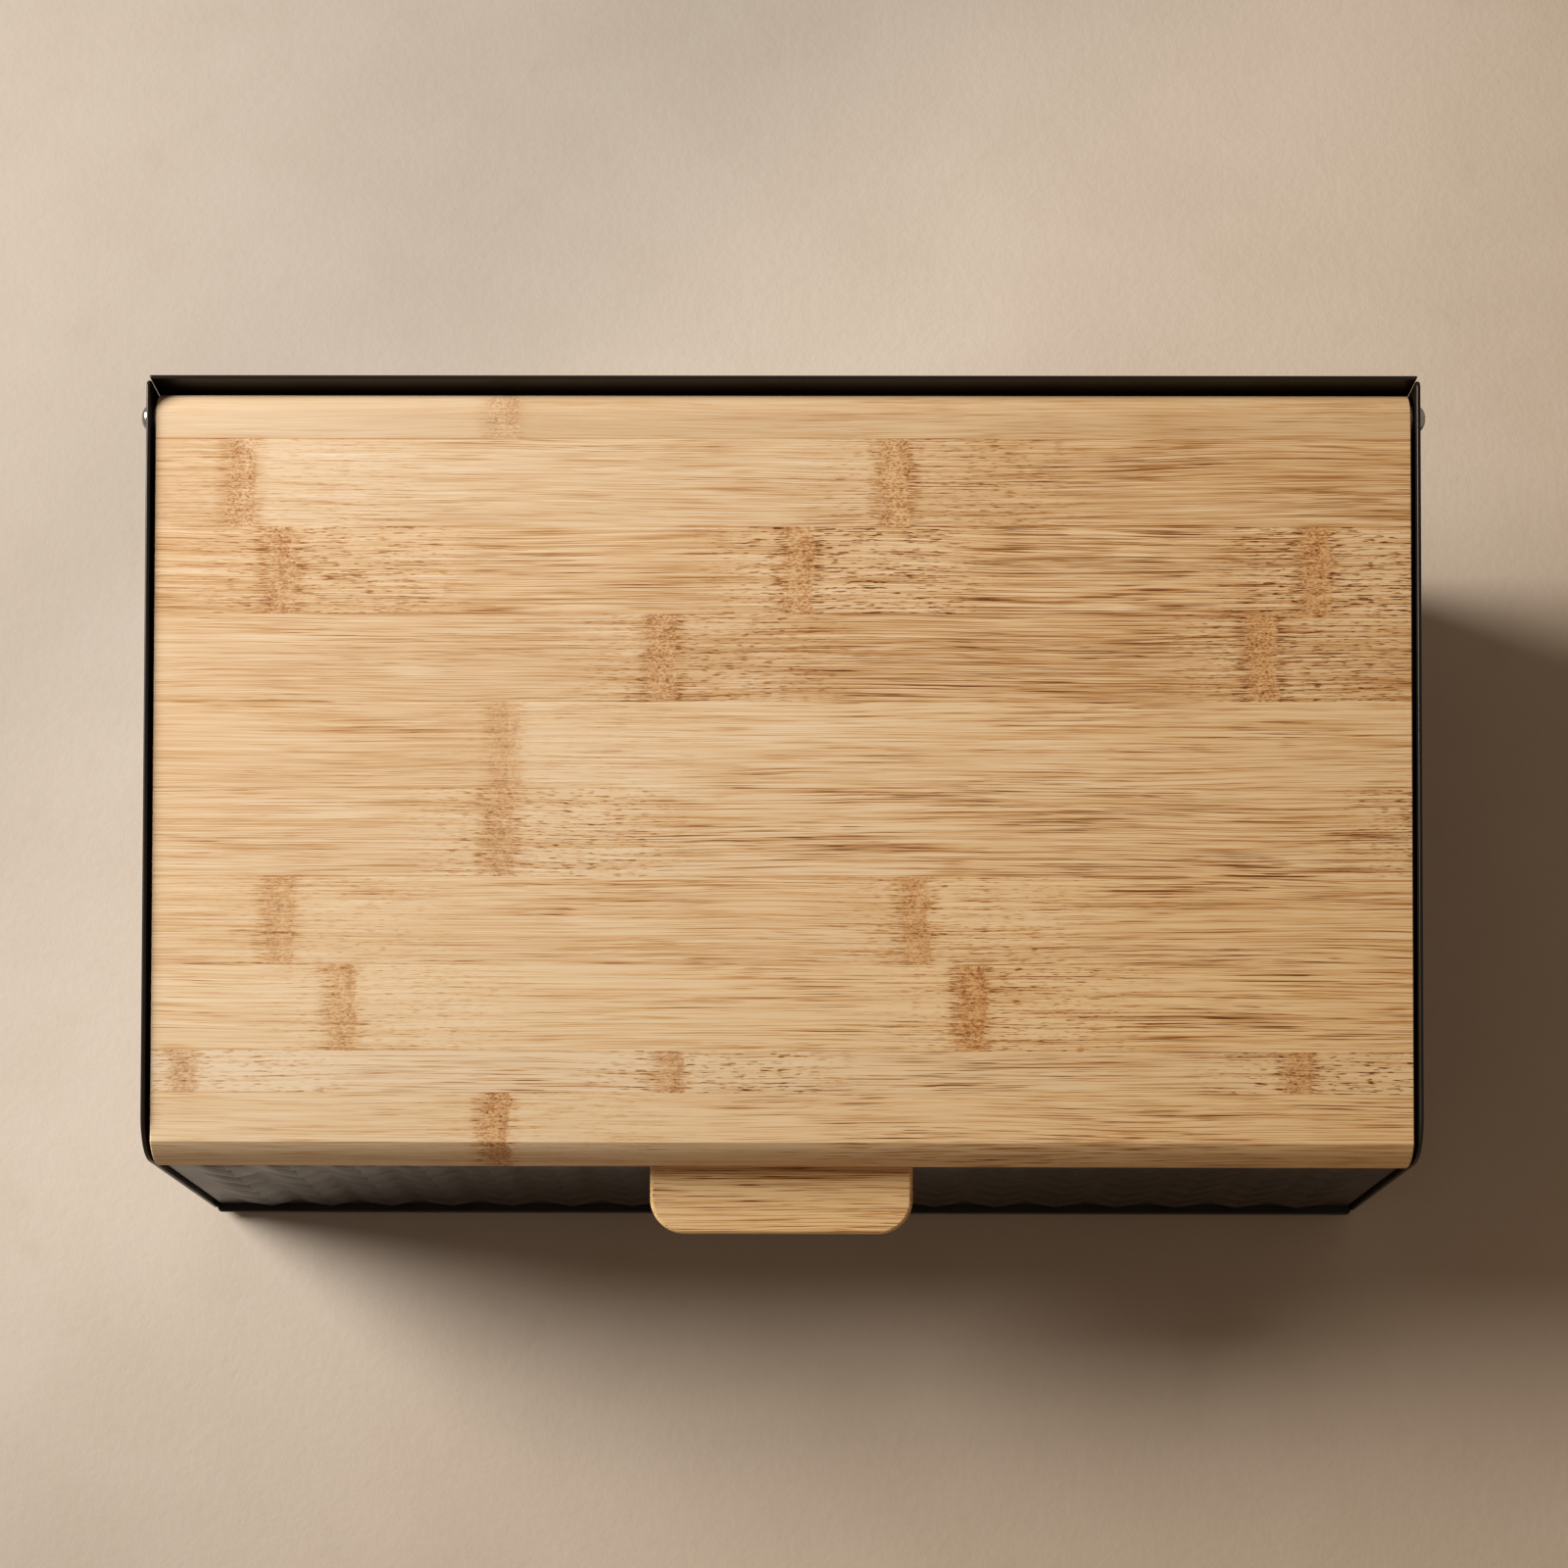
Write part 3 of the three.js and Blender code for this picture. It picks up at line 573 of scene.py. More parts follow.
def rounded(corners, steps=10):
    """A closed outline through corners (a, b, radius), each rounded by its own radius."""
    points = []
    for i, (a, b, radius) in enumerate(corners):
        here = Vector((a, b))
        if not radius:
            points.append(here)
            continue
        before = (Vector(corners[i - 1][:2]) - here).normalized()
        after = (Vector(corners[(i + 1) % len(corners)][:2]) - here).normalized()
        points.extend(fillet(here, before, after, radius, steps))
    return points


def inset(outline, distance):
    """A counter-clockwise outline drawn in by a distance, and by no more than twice that at a corner."""
    points = []
    for i, here in enumerate(outline):
        before = (here - outline[i - 1]).normalized()
        after = (outline[(i + 1) % len(outline)] - here).normalized()
        inward = Vector((-before.y - after.y, before.x + after.x)).normalized()
        points.append(here + inward * (distance / max(0.5, inward.dot(Vector((-after.y, after.x))))))
    return points


def levels(low, high, edge, steps=4):
    """(place, inset) of a bar's rings from end to end. Its ends are rounded, unless edge is zero."""
    if not edge:
        return [(low, 0.0), (high, 0.0)]
    turns = [math.pi / 2 * k / steps for k in range(steps + 1)]
    start = [(low + edge * (1 - math.sin(t)), edge * (1 - math.cos(t))) for t in turns]
    end = [(high - edge * (1 - math.sin(t)), edge * (1 - math.cos(t))) for t in turns]
    return sorted(start) + sorted(end)


def ring_faces(rings, count):
    """Faces between so many rings of count vertices, which are numbered ring after ring."""
    faces = []
    for k in range(rings - 1):
        for i in range(count):
            j = (i + 1) % count
            faces.append((k * count + i, k * count + j, (k + 1) * count + j, (k + 1) * count + i))
    return faces


def add_face(faces, corners):
    """Adds a face once it has lost its repeated corners, if three are left."""
    face = tuple(dict.fromkeys(corners))
    if len(face) > 2:
        faces.append(face)


def bar(name, outline, low, high, edge=0.0, place=Matrix.Identity(4)):
    """An outline in the plane of place's X and Y, run along its Z, with rounded ends."""
    rings = [[(*p, at) for p in inset(outline, drawn_in)] for at, drawn_in in levels(low, high, edge)]
    count = len(outline)
    vertices = [place @ Vector(p) for ring in rings for p in ring]
    ends = [tuple(reversed(range(count))), tuple(range(len(vertices) - count, len(vertices)))]
    made = build(name, vertices, ends + ring_faces(len(rings), count))
    clean(made)
    return made


def turned(name, profile, place=Matrix.Identity(4), sides=72):
    """A solid turned about Z from (radius, height) points, which start and end on the axis or meet."""
    vertices = []
    rows = []
    for radius, height in profile:
        start = len(vertices)
        if radius < SAME:
            vertices.append((0, 0, height))
            rows.append([start] * sides)
            continue
        for k in range(sides):
            angle = 2 * math.pi * k / sides
            vertices.append((radius * math.cos(angle), radius * math.sin(angle), height))
        rows.append(list(range(start, start + sides)))
    faces = []
    for low, high in zip(rows, rows[1:]):
        for k in range(sides):
            add_face(faces, (low[k], low[(k + 1) % sides], high[(k + 1) % sides], high[k]))
    made = build(name, vertices, faces)
    made.matrix_world = place
    clean(made)
    return made


def local_box(node, place):
    """Lowest and highest corner of a CAD node, measured in another frame."""
    back = place.inverted()
    points = [back @ v.co for v in frame["nodes"][node].data.vertices]
    low = Vector([min(p[i] for p in points) for i in range(3)])
    high = Vector([max(p[i] for p in points) for i in range(3)])
    return low, high


def eased_sheet(node, widened=0.0, lapped=0.0, shortest=0.0):
    """A CAD sheet widened at both ends to meet the sides, and lapped behind them by its outer face,
    with its edges softened by paint. Edges no longer than shortest stay as they are."""
    mesh = frame["nodes"][node].data.copy()
    piece = bpy.data.objects.new(f"{node}_sheet", mesh)
    bpy.context.scene.collection.objects.link(piece)
    half, rear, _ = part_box(node)[1]
    shape = bmesh.new()
    shape.from_mesh(mesh)
    for vertex in shape.verts:
        if abs(vertex.co.x) > half - SHEET - BEND_RADIUS:
            behind = vertex.co.y > rear - SHEET / 2
            vertex.co.x += math.copysign(widened + (lapped if behind else 0.0), vertex.co.x)
    bmesh.ops.remove_doubles(shape, verts=shape.verts, dist=MERGE)
    bmesh.ops.dissolve_limit(shape, angle_limit=FLAT_ANGLE, verts=shape.verts, edges=shape.edges)
    sharp = [e for e in shape.edges if e.is_manifold and e.calc_face_angle() > EASED_ANGLE]
    long = [e for e in sharp if e.calc_length() > shortest]
    bmesh.ops.bevel(
        shape, geom=long, offset=EASED_EDGE, segments=3, profile=0.5, affect="EDGES", clamp_overlap=False
    )
    shape.to_mesh(mesh)
    shape.free()
    mount(piece, node, "body", "black_steel")


# Lid

SEED_STEP = 0.377  # from one strip's seed to the next one's
TAB_SEED = 0.61  # added to the tab's


def set_strips(piece, strips, rear, first_seed=0.0):
    """Gives each face the look, nodes and edges of the strip it lies in, counted from the rear."""
    mesh = piece.data
    names = ("strip_look", "strip_marks", "strip_nodes", "strip_edges")
    for name in names:
        mesh.attributes.new(name, "FLOAT_VECTOR", "FACE")
    looks, marks, nodes, edges = (mesh.attributes[name].data for name in names)
    for face in mesh.polygons:
        strip_rear = rear / MM
        for i, (width, tone, strength, warmth, flecks, node_depth, places) in enumerate(strips):
            strip_front = strip_rear - width
            if face.center.y / MM > strip_front or i == len(strips) - 1:
                break
            strip_rear = strip_front
        seed = ((i + 1) * SEED_STEP + first_seed) % 1.0
        looks[face.index].vector = (seed, tone, strength)
        marks[face.index].vector = (warmth, flecks, node_depth)
        nodes[face.index].vector = [*places, NOWHERE, NOWHERE, NOWHERE][:3]
        edges[face.index].vector = (strip_rear, strip_front, 0.0)


def board_section(low, high):
    """Matched upper and lower points of the board's section, as (y, z) from the rear to the front."""
    half = high.z
    front = low.y
    centre = Vector((front + BOARD_FRONT_RADIUS, half - BOARD_FRONT_RADIUS * math.cos(BOARD_CREASE)))
    rear_arc = arc((0, 0), half, 0, math.pi / 2, BOARD_ARC_STEPS)
    front_arc = arc(centre, BOARD_FRONT_RADIUS, math.pi / 2 + BOARD_CREASE, math.pi, BOARD_ARC_STEPS)
    joints = []
    y = high.y
    for width, *_ in STRIPS[:-1]:
        y -= width * MM
        joints.append(Vector((y, half)))
    upper = rear_arc + [j for j in joints if j.x < 0] + front_arc
    foot = front + BOARD_FOOT_EDGE
    lower = [Vector((p.x, -half if p.x < 0 else -p.y)) for p in upper if p.x >= foot]
    centre = (foot, BOARD_FOOT_EDGE - half)
    foot_arc = arc(centre, BOARD_FOOT_EDGE, -math.pi / 2, -math.pi, FOOT_ARC_STEPS)
    lower = lower[: len(upper) - len(foot_arc)] + foot_arc
    while len(lower) < len(upper):
        lower.insert(-len(foot_arc), (lower[-len(foot_arc) - 1] + foot_arc[0]) / 2)
    return upper, lower


def lid_board():
    """The glued-up board: half-round at the rear, creased and rounded at the front."""
    low, high = local_box("lid_board", LID_PLACE)
    upper, lower = board_section(low, high)
    outline = list(reversed(upper)) + lower[1:]
    count = len(outline)
    rings = []
    for at, drawn_in in levels(low.x, high.x, BOARD_END_EDGE):
        rings.append([Vector((at, p.x, p.y)) for p in inset(outline, -drawn_in)])
    vertices = [p for ring in rings for p in ring]
    faces = ring_faces(len(rings), count)

    # The ends, in upright slices between matched points
    top = len(upper) - 1
    for start in (0, (len(rings) - 1) * count):
        for i in range(top):
            above = (start + top - i, start + top - i - 1)
            below = (start + (top + i) % count, start + (top + i + 1) % count)
            add_face(faces, (above[0], above[1], below[1], below[0]))
    made = build("lid_board_bamboo", vertices, faces)
    clean(made)
    set_strips(made, STRIPS, high.y)
    made.matrix_world = LID_PLACE
    mount(made, "lid_board", "lid", "bamboo", angle=20)


def handle_tab():
    """The pull tab under the board's front edge, with rounded corners and edges and two screw holes."""
    low, high = local_box("handle_tab", LID_PLACE)
    corners = [
        (low.x, low.y, TAB_CORNER_RADIUS),
        (high.x, low.y, TAB_CORNER_RADIUS),
        (high.x, high.y, TAB_REAR_RADIUS),
        (low.x, high.y, TAB_REAR_RADIUS),
    ]
    made = bar("handle_tab_bamboo", rounded(corners, 14), low.z, high.z, TAB_EDGE)
    cutters = []
    for side in ("left", "right"):
        screw_low, screw_high = local_box(f"handle_screw_{side}", LID_PLACE)
        middle = (screw_low + screw_high) / 2
        head = (screw_high.x - screw_low.x) / 2 + HOLE_CLEARANCE
        profile = [
            (0, low.z - CUT_EXCESS),
            (head, low.z - CUT_EXCESS),
            (head, low.z + HOLE_CLEARANCE),
            (head / 2, low.z + TAB_SINK),
            (head / 2, high.z + CUT_EXCESS),
            (0, high.z + CUT_EXCESS),
        ]
        cutters.append(turned("cutter", profile, Matrix.Translation((middle.x, middle.y, 0))))
    subtract(made, *cutters)
    set_strips(made, [TAB_STRIP], high.y, TAB_SEED)
    made.matrix_world = LID_PLACE
    mount(made, "handle_tab", "lid", "bamboo")


def cut_slots(piece, radius, low, high, place):
    """Cuts two crossed slots for a screwdriver into a screw's head of the given radius."""
    reach = radius * SLOT_REACH
    slots = []
    for a, b in ((reach, SLOT_HALF_WIDTH), (SLOT_HALF_WIDTH, reach)):
        outline = [Vector(p) for p in ((-a, -b), (a, -b), (a, b), (-a, b))]
        slot = bar("cutter", outline, low, high)
        slot.matrix_world = place
        slots.append(slot)
    subtract(piece, *slots)


def dome(radius, base, height, steps=12):
    """Profile points of a dome, from its rim to its tip."""
    angles = [math.pi / 2 * k / steps for k in range(steps + 1)]
    points = [(radius * math.cos(a), base + height * math.sin(a)) for a in angles]
    return [*points[:-1], (0, base + height)]


def threaded(start, end, radius, pitch, depth):
    """Profile points of ridges that stand for a thread."""
    turns = max(1, round((end - start) / pitch))
    points = []
    for k in range(turns):
        low = start + (end - start) * k / turns
        points += [(radius - depth, low), (radius, low + pitch * 0.5)]
    return [*points, (radius - depth, end)]


def pivot_screw(side, place):
    """Pan-head pivot screw, its axis along +Z of place from the board's middle outwards."""
    low, high = local_box(f"pivot_screw_{side}", place)
    seat = high.z - HEAD_HEIGHT
    thread_end = seat - PLAIN_SHANK - THREAD_RUNOUT
    profile = [
        (0, low.z),
        (SHANK_RADIUS - THREAD_DEPTH, low.z),
        *threaded(low.z + THREAD_RUNOUT, thread_end, SHANK_RADIUS, THREAD_PITCH, THREAD_DEPTH),
        (SHANK_RADIUS, seat - PLAIN_SHANK),
        (SHANK_RADIUS, seat),
        (HEAD_RADIUS - HEAD_RIM, seat),
        *dome(HEAD_RADIUS, seat + HEAD_RIM, HEAD_HEIGHT - HEAD_RIM),
    ]
    made = turned(f"pivot_screw_{side}_turned", profile, place)
    cut_slots(made, HEAD_RADIUS, seat + HEAD_HEIGHT / 2, high.z + CUT_EXCESS, place)
    mount(made, f"pivot_screw_{side}", "lid", "screw_steel", angle=40)


def handle_screw(side):
    """Countersunk wood screw from below, its head flush with the tab."""
    low, high = local_box(f"handle_screw_{side}", LID_PLACE)
    middle = (low + high) / 2
    place = LID_PLACE @ Matrix.Translation((middle.x, middle.y, low.z))
    head = (high.x - low.x) / 2
    length = high.z - low.z
    start = WOOD_HEAD_DEPTH + WOOD_RUNOUT
    profile = [
        (0, 0),
        (head - WOOD_HEAD_RIM, 0),
        (head, WOOD_HEAD_RIM),
        (WOOD_SHANK_RADIUS, WOOD_HEAD_DEPTH),
        *threaded(start, length - WOOD_POINT, WOOD_SHANK_RADIUS, WOOD_PITCH, WOOD_THREAD_DEPTH),
        (0, length),
    ]
    made = turned(f"handle_screw_{side}_turned", profile, place)
    cut_slots(made, head, -CUT_EXCESS, WOOD_HEAD_DEPTH / 2, place)
    mount(made, f"handle_screw_{side}", "lid", "screw_steel", angle=40)


def ring(node, place, edge, slot):
    """A washer or bush on the pivot screw, with softened edges."""
    inner = SHANK_RADIUS + HOLE_CLEARANCE
    low, high = local_box(node, place)
    outer = high.x
    profile = [
        (inner + edge, low.z),
        (outer - edge, low.z),
        (outer, low.z + edge),
        (outer, high.z - edge),
        (outer - edge, high.z),
        (inner + edge, high.z),
        (inner, high.z - edge),
        (inner, low.z + edge),
        (inner + edge, low.z),
    ]
    made = turned(f"{node}_turned", profile, place)
    clean(made, MERGE)
    mount(made, node, "lid", slot, angle=40)


def make_lid():
    """Everything that swings with the lid, drawn in the lid's own frame."""
    lid_board()
    handle_tab()
    for side, outwards in (("left", -1), ("right", 1)):
        place = LID_PLACE @ Matrix.Rotation(outwards * math.pi / 2, 4, "Y")
        pivot_screw(side, place)
        ring(f"pivot_washer_{side}", place, WASHER_EDGE, "nylon")
        ring(f"pivot_insert_{side}", place, INSERT_EDGE, "brass")
        handle_screw(side)


# Body

class Fold:
    """The middle line of a folded sheet through corners, with its folds rounded."""

    def __init__(self, *corners):
        line = [Vector(c) for c in corners]
        points = [line[0]]
        for i in range(1, len(line) - 1):
            before = (line[i - 1] - line[i]).normalized()
            after = (line[i + 1] - line[i]).normalized()
            points.extend(fillet(line[i], before, after, BEND_RADIUS + SHEET / 2, FOLD_STEPS))
        self.points = [*points, line[-1]]
        self.places = [0.0]
        for a, b in zip(self.points, self.points[1:]):
            self.places.append(self.places[-1] + (b - a).length)

    def normal(self, i):
        """The direction square to the sheet at a point, to the right of the line."""
        before = self.points[i] - self.points[max(0, i - 1)]
        after = self.points[min(len(self.points) - 1, i + 1)] - self.points[i]
        along = (before.normalized() + after.normalized()).normalized()
        return Vector((along.y, -along.x))


def smoothstep(value):
    """A smooth rise from 0 to 1 while the value does the same."""
    value = max(0.0, min(1.0, value))
    return value * value * (3 - 2 * value)


def scale_line(x):
    """How far a scale's lower edge stands above its point at a place across the panel, and the relief
    there: a pointed V in each column, with flat shoulders between the columns."""
    half_columns = SCALE_COLUMNS / 2
    column = math.floor(x / SCALE_WIDTH + half_columns)
    if not 0 <= column < SCALE_COLUMNS:
        return SCALE_POINT, 0.0
    centre = (column + 0.5 - half_columns) * SCALE_WIDTH
    aside = abs(x - centre) / (SCALE_WIDTH / 2)
    rise = SCALE_POINT * math.sin(math.pi / 2 * min(1.0, aside * POINT_SPREAD)) ** POINT_BULGE
    fall = smoothstep((aside - SHOULDER_START) / (1 - SHOULDER_START))
    relief = 1 - (1 - SHOULDER_RELIEF_SHARE) * fall
    return rise, relief


def scale_profile(share):
    """Relief of one scale, from its lower edge (0) up to the lower edge of the one above (1)."""
    ramp_end = 1 - SCALE_DROP_SHARE
    if share < ramp_end:
        bulge = math.cos(math.pi / 2 * (share / ramp_end) ** SCALE_BULGE)
    else:
        bulge = smoothstep((share - ramp_end) / SCALE_DROP_SHARE)
    return bulge * (SCALE_RISE + SCALE_DIP) - SCALE_DIP


def pattern_lines(flange_end, slot_end):
    """Places of the face's upright lines: on every column and at the ends of the flanges."""
    asides = [0.03, 0.1, 0.2, 0.31, 0.42, 0.53, 0.64, 0.75, 0.85, 0.94, 1]
    asides = [*(-a for a in reversed(asides)), 0, *asides]
    half_pattern = SCALE_COLUMNS * SCALE_WIDTH / 2
    xs = [-slot_end, -flange_end, flange_end, slot_end]
    for column in range(SCALE_COLUMNS):
        centre = (column + 0.5) * SCALE_WIDTH - half_pattern
        xs += [centre + a * SCALE_WIDTH / 2 for a in asides]
    xs = sorted({round(x, 7) for x in xs})
    return [x for x in xs if abs(x) <= slot_end + SAME]


def sheet_faces(cells):
    """Faces of a sheet from the cells of its front side: front, rear and the rims of open edges.
    Each front vertex is followed by the one behind it."""
    faces = []
    edges = {}
    for cell in cells:
        faces.append(tuple(cell))
        faces.append(tuple(k + 1 for k in reversed(cell)))
        for a, b in zip(cell, [*cell[1:], cell[0]]):
            if (b, a) in edges:
                del edges[(b, a)]
            else:
                edges[(a, b)] = True
    return faces + [(b, a, a + 1, b + 1) for a, b in edges]


def front_panel():
    """The folded front panel with its raised pattern, drawn as one sheet of even thickness."""
    low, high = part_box("front_panel")
    end = high.x + WELD_GAP
    face = low.y
    foot = low.z
    middle = face + SHEET / 2
    outer_bend = BEND_RADIUS + SHEET
    slope = Vector((math.cos(LID_SLOPE), math.sin(LID_SLOPE)))
    corner_z = high.z - slope.y * FRONT_TOP_FLANGE - SHEET / 2 * slope.x
    upright = Fold(
        (face + FRONT_FOOT_FLANGE, foot + SHEET / 2),
        (middle, foot + SHEET / 2),
        (middle, corner_z),
        (middle + FRONT_TOP_FLANGE * slope.x, corner_z + FRONT_TOP_FLANGE * slope.y),
    )
    across = Fold(
        (-end + SHEET / 2, face + FRONT_END_FLANGE),
        (-end + SHEET / 2, middle),
        (end - SHEET / 2, middle),
        (end - SHEET / 2, face + FRONT_END_FLANGE),
    )
    fold_end = FOLD_STEPS + 1  # last point of the first fold, before the first of the second
    face_low = upright.points[fold_end].y
    face_high = upright.points[fold_end + 1].y
    flange_end = end - outer_bend - BEND_RELIEF
    slot_end = flange_end + BEND_RELIEF / 2

    # Upright lines: end flange, face, end flange. Each has its kind, place and outward direction
    folds = [("fold", point, across.normal(i)) for i, point in enumerate(across.points)]
    columns = folds[: fold_end + 1]
    for x in pattern_lines(flange_end, slot_end):
        columns.append(("face", Vector((x, middle)), Vector((0, -1))))
    columns += folds[fold_end + 1 :]

    # Level lines: foot flange, plain foot, scales, plain top, top flange
    plain_rows = 4
    top_rows = 8
    rows = [("foot", i) for i in range(fold_end)]
    rows += [("below", k / plain_rows) for k in range(plain_rows)]
    shares = [0, 0.04, 0.1, 0.2, 0.32, 0.44, 0.56, 0.68, 0.8, 0.9, 0.93, 0.965]
    point_low = face_low + SCALE_FOOT
    rows += [("scale", k + s) for k in range(SCALE_ROWS) for s in shares]
    rows += [("above", k / top_rows) for k in range(top_rows + 1)]
    rows += [("top", i) for i in range(fold_end + 2, len(upright.points))]

    def place(column, row):
        """Middle of the sheet, its outward direction and the relief at a crossing of two lines."""
        kind, point, outward = column
        row_kind, value = row
        x = point.x
        if row_kind in ("foot", "top"):
            if kind == "face" and abs(x) <= flange_end + SAME:
                bend = upright.points[value]
                out = -upright.normal(value)
                return Vector((x, bend.x, bend.y)), Vector((0, out.x, out.y)), 0.0
            reach = upright.places[value]
            if row_kind == "foot":
                z = max(face_low - (upright.places[fold_end] - reach), foot)
            else:
                z = min(face_high + reach - upright.places[fold_end + 1], corner_z)
            return Vector((x, point.y, z)), Vector((outward.x, outward.y, 0)), 0.0
        rise, relief = scale_line(x) if kind == "face" else (SCALE_POINT, 0.0)
        lowest = point_low + rise
        highest = point_low + SCALE_ROWS * SCALE_HEIGHT + rise
        if row_kind == "below":
            z = face_low + (lowest - face_low) * value
            height = SCALE_RISE * smoothstep(max(0.0, value * plain_rows - (plain_rows - 1)))
        elif row_kind == "scale":
            z = lowest + SCALE_HEIGHT * value
            height = scale_profile(value % 1)
        else:
            z = highest + (face_high - highest) * value
            height = SCALE_RISE * (1 - smoothstep(value))
        return Vector((x, point.y, z)), Vector((outward.x, outward.y, 0)), height * relief

    def side(i):
        """How far from the panel's middle the cells beside column i reach."""
        return max(abs(columns[i][1].x), abs(columns[i + 1][1].x))

    def is_sheet(i, j):
        """Whether the cell between two columns and two rows is sheet or cut away."""
        in_flange = rows[j][0] == "foot" or rows[j + 1][0] == "top"
        if not in_flange or side(i) <= flange_end + SAME:
            return True
        if side(i) <= slot_end + SAME:
            return False
        lower, upper = (place(columns[i], row)[0].z for row in rows[j : j + 2])
        return abs(upper - lower) > CELL_LIMIT

    vertices = []
    index = {}

    def corner(i, j, straight):
        """Index of the front vertex at a crossing. A flange and the straight sheet beside it, which
        it is cut free of, each have their own."""
        key = (i, j, straight and rows[j][0] in ("foot", "top"))
        if key not in index:
            at, out, height = place(columns[i], rows[j])
            index[key] = len(vertices)
            lift = out * (SHEET / 2)
            raised = out * height
            vertices.append(at + lift + raised)
            vertices.append(at - lift + raised)
        return index[key]

    cells = []
    for i in range(len(columns) - 1):
        straight = side(i) > flange_end + SAME
        for j in range(len(rows) - 1):
            if is_sheet(i, j):
                around = [(i, j), (i + 1, j), (i + 1, j + 1), (i, j + 1)]
                cells.append([corner(a, b, straight) for a, b in around])
    made = build("front_panel_embossed", vertices, sheet_faces(cells))
    clean(made)
    subtract(made, notch_cutter(face, high.z))
    mount(made, "front_panel", "body", "black_steel", angle=38)


def notch_cutter(face, top):
    """Cutter for the notch that the handle tab passes through, from the panel's face and top."""
    tab_low = local_box("handle_tab", LID_PLACE)[0].z
    along = (face - LID_PIVOT.y + tab_low * math.sin(LID_SLOPE)) / math.cos(LID_SLOPE)
    tab_height = (LID_PLACE @ Vector((0, along, tab_low))).z
    foot = tab_height - NOTCH_CLEARANCE
    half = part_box("handle_tab")[1].x + NOTCH_CLEARANCE
    above = top + NOTCH_CUT
    corners = [
        (-half, foot, NOTCH_RADIUS),
        (half, foot, NOTCH_RADIUS),
        (half, above, 0),
        (-half, above, 0),
    ]
    behind = -(face + NOTCH_CUT_BEHIND)
    before = -(face - NOTCH_CUT)
    return bar("cutter", rounded(corners), behind, before, 0, FACING_FRONT)


def foot(node):
    """A rubber foot with its sole, stem and barb, pushed through the base."""
    low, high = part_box(node)
    middle = (low + high) / 2
    place = Matrix.Translation((middle.x, middle.y, low.z))
    sole = (high.x - low.x) / 2
    profile = [
        (0, 0),
        (sole - 1.2 * MM, 0),
        (sole - 0.8 * MM, 0.12 * MM),
        (sole, 1.1 * MM),
        (sole, SOLE_HEIGHT - SOLE_EDGE),
        (sole - SOLE_EDGE, SOLE_HEIGHT),
        (NECK_RADIUS, SOLE_HEIGHT),
        (NECK_RADIUS, NECK_TOP),
        (BARB_RADIUS - BARB_EDGE, NECK_TOP),
        *dome(BARB_RADIUS, NECK_TOP + BARB_EDGE, high.z - low.z - NECK_TOP - BARB_EDGE),
    ]
    made = turned(f"{node}_rubber", profile, place)
    mount(made, node, "body", "rubber", angle=40)


def bumper(node):
    """A self-adhesive rubber bumper on the front panel's top flange, tilted with the lid."""
    tilt = Matrix.Rotation(LID_SLOPE, 4, "X")
    low, high = local_box(node, tilt)
    middle = (low + high) / 2
    place = tilt @ Matrix.Translation((middle.x, middle.y, low.z))
    radius = (high.x - low.x) / 2
    height = high.z - low.z
    edge = BUMPER_EDGE
    rim = arc((0, 0), edge, 0, math.pi / 2, 5)
    profile = [(0, 0), (radius, 0), (radius, height - edge)]
    profile += [(radius - edge + p.x, height - edge + p.y) for p in rim]
    made = turned(f"{node}_rubber", [*profile, (0, height)], place)
    mount(made, node, "body", "rubber", angle=40)


def make_body():
    """Everything that stands still."""
    eased_sheet("left_side_panel")
    eased_sheet("right_side_panel")
    eased_sheet("back_panel", WELD_GAP, BACK_LAP, VENT_FACET)
    eased_sheet("base_plate", WELD_GAP)
    front_panel()
    for place in ("front_left", "rear_left", "front_right", "rear_right"):
        foot(f"foot_{place}")
    for side in ("left", "right"):
        bumper(f"lid_bumper_{side}")


make_lid()
make_body()


# Floor and light

FLOOR_SIZE = 14.0
FLOOR_FADE = (0.38, 0.95)  # distances between which the floor turns into the backdrop
KEY_AZIMUTH = math.radians(-73)  # from the back, clockwise seen from above
KEY_ELEVATION = math.radians(36)
KEY_DISTANCE = 1.1
KEY_SIZE = 0.54
KEY_SPREAD = math.radians(107)
KEY_POWER = 7.1
KEY_COLOUR = (1.0, 0.985, 0.965)
KEY_AIM = Vector((0.494, 0.188, 0.0))  # on the floor, past the object's right side
FILL_COLOUR = (0.15, 0.115, 0.09)
BACKDROP = (0.47, 0.405, 0.335)


def seen_directly(tree):
    """1 for what the camera, a reflection or glass sees, and 0 for the light that falls on the object."""
    path = tree.nodes.new("ShaderNodeLightPath")
    seen = path.outputs["Is Camera Ray"]
    for ray in ("Is Glossy Ray", "Is Transmission Ray"):
        either = tree.nodes.new("ShaderNodeMath")
        either.operation = "MAXIMUM"
        tree.links.new(seen, either.inputs[0])
        tree.links.new(path.outputs[ray], either.inputs[1])
        seen = either.outputs[0]
    return seen


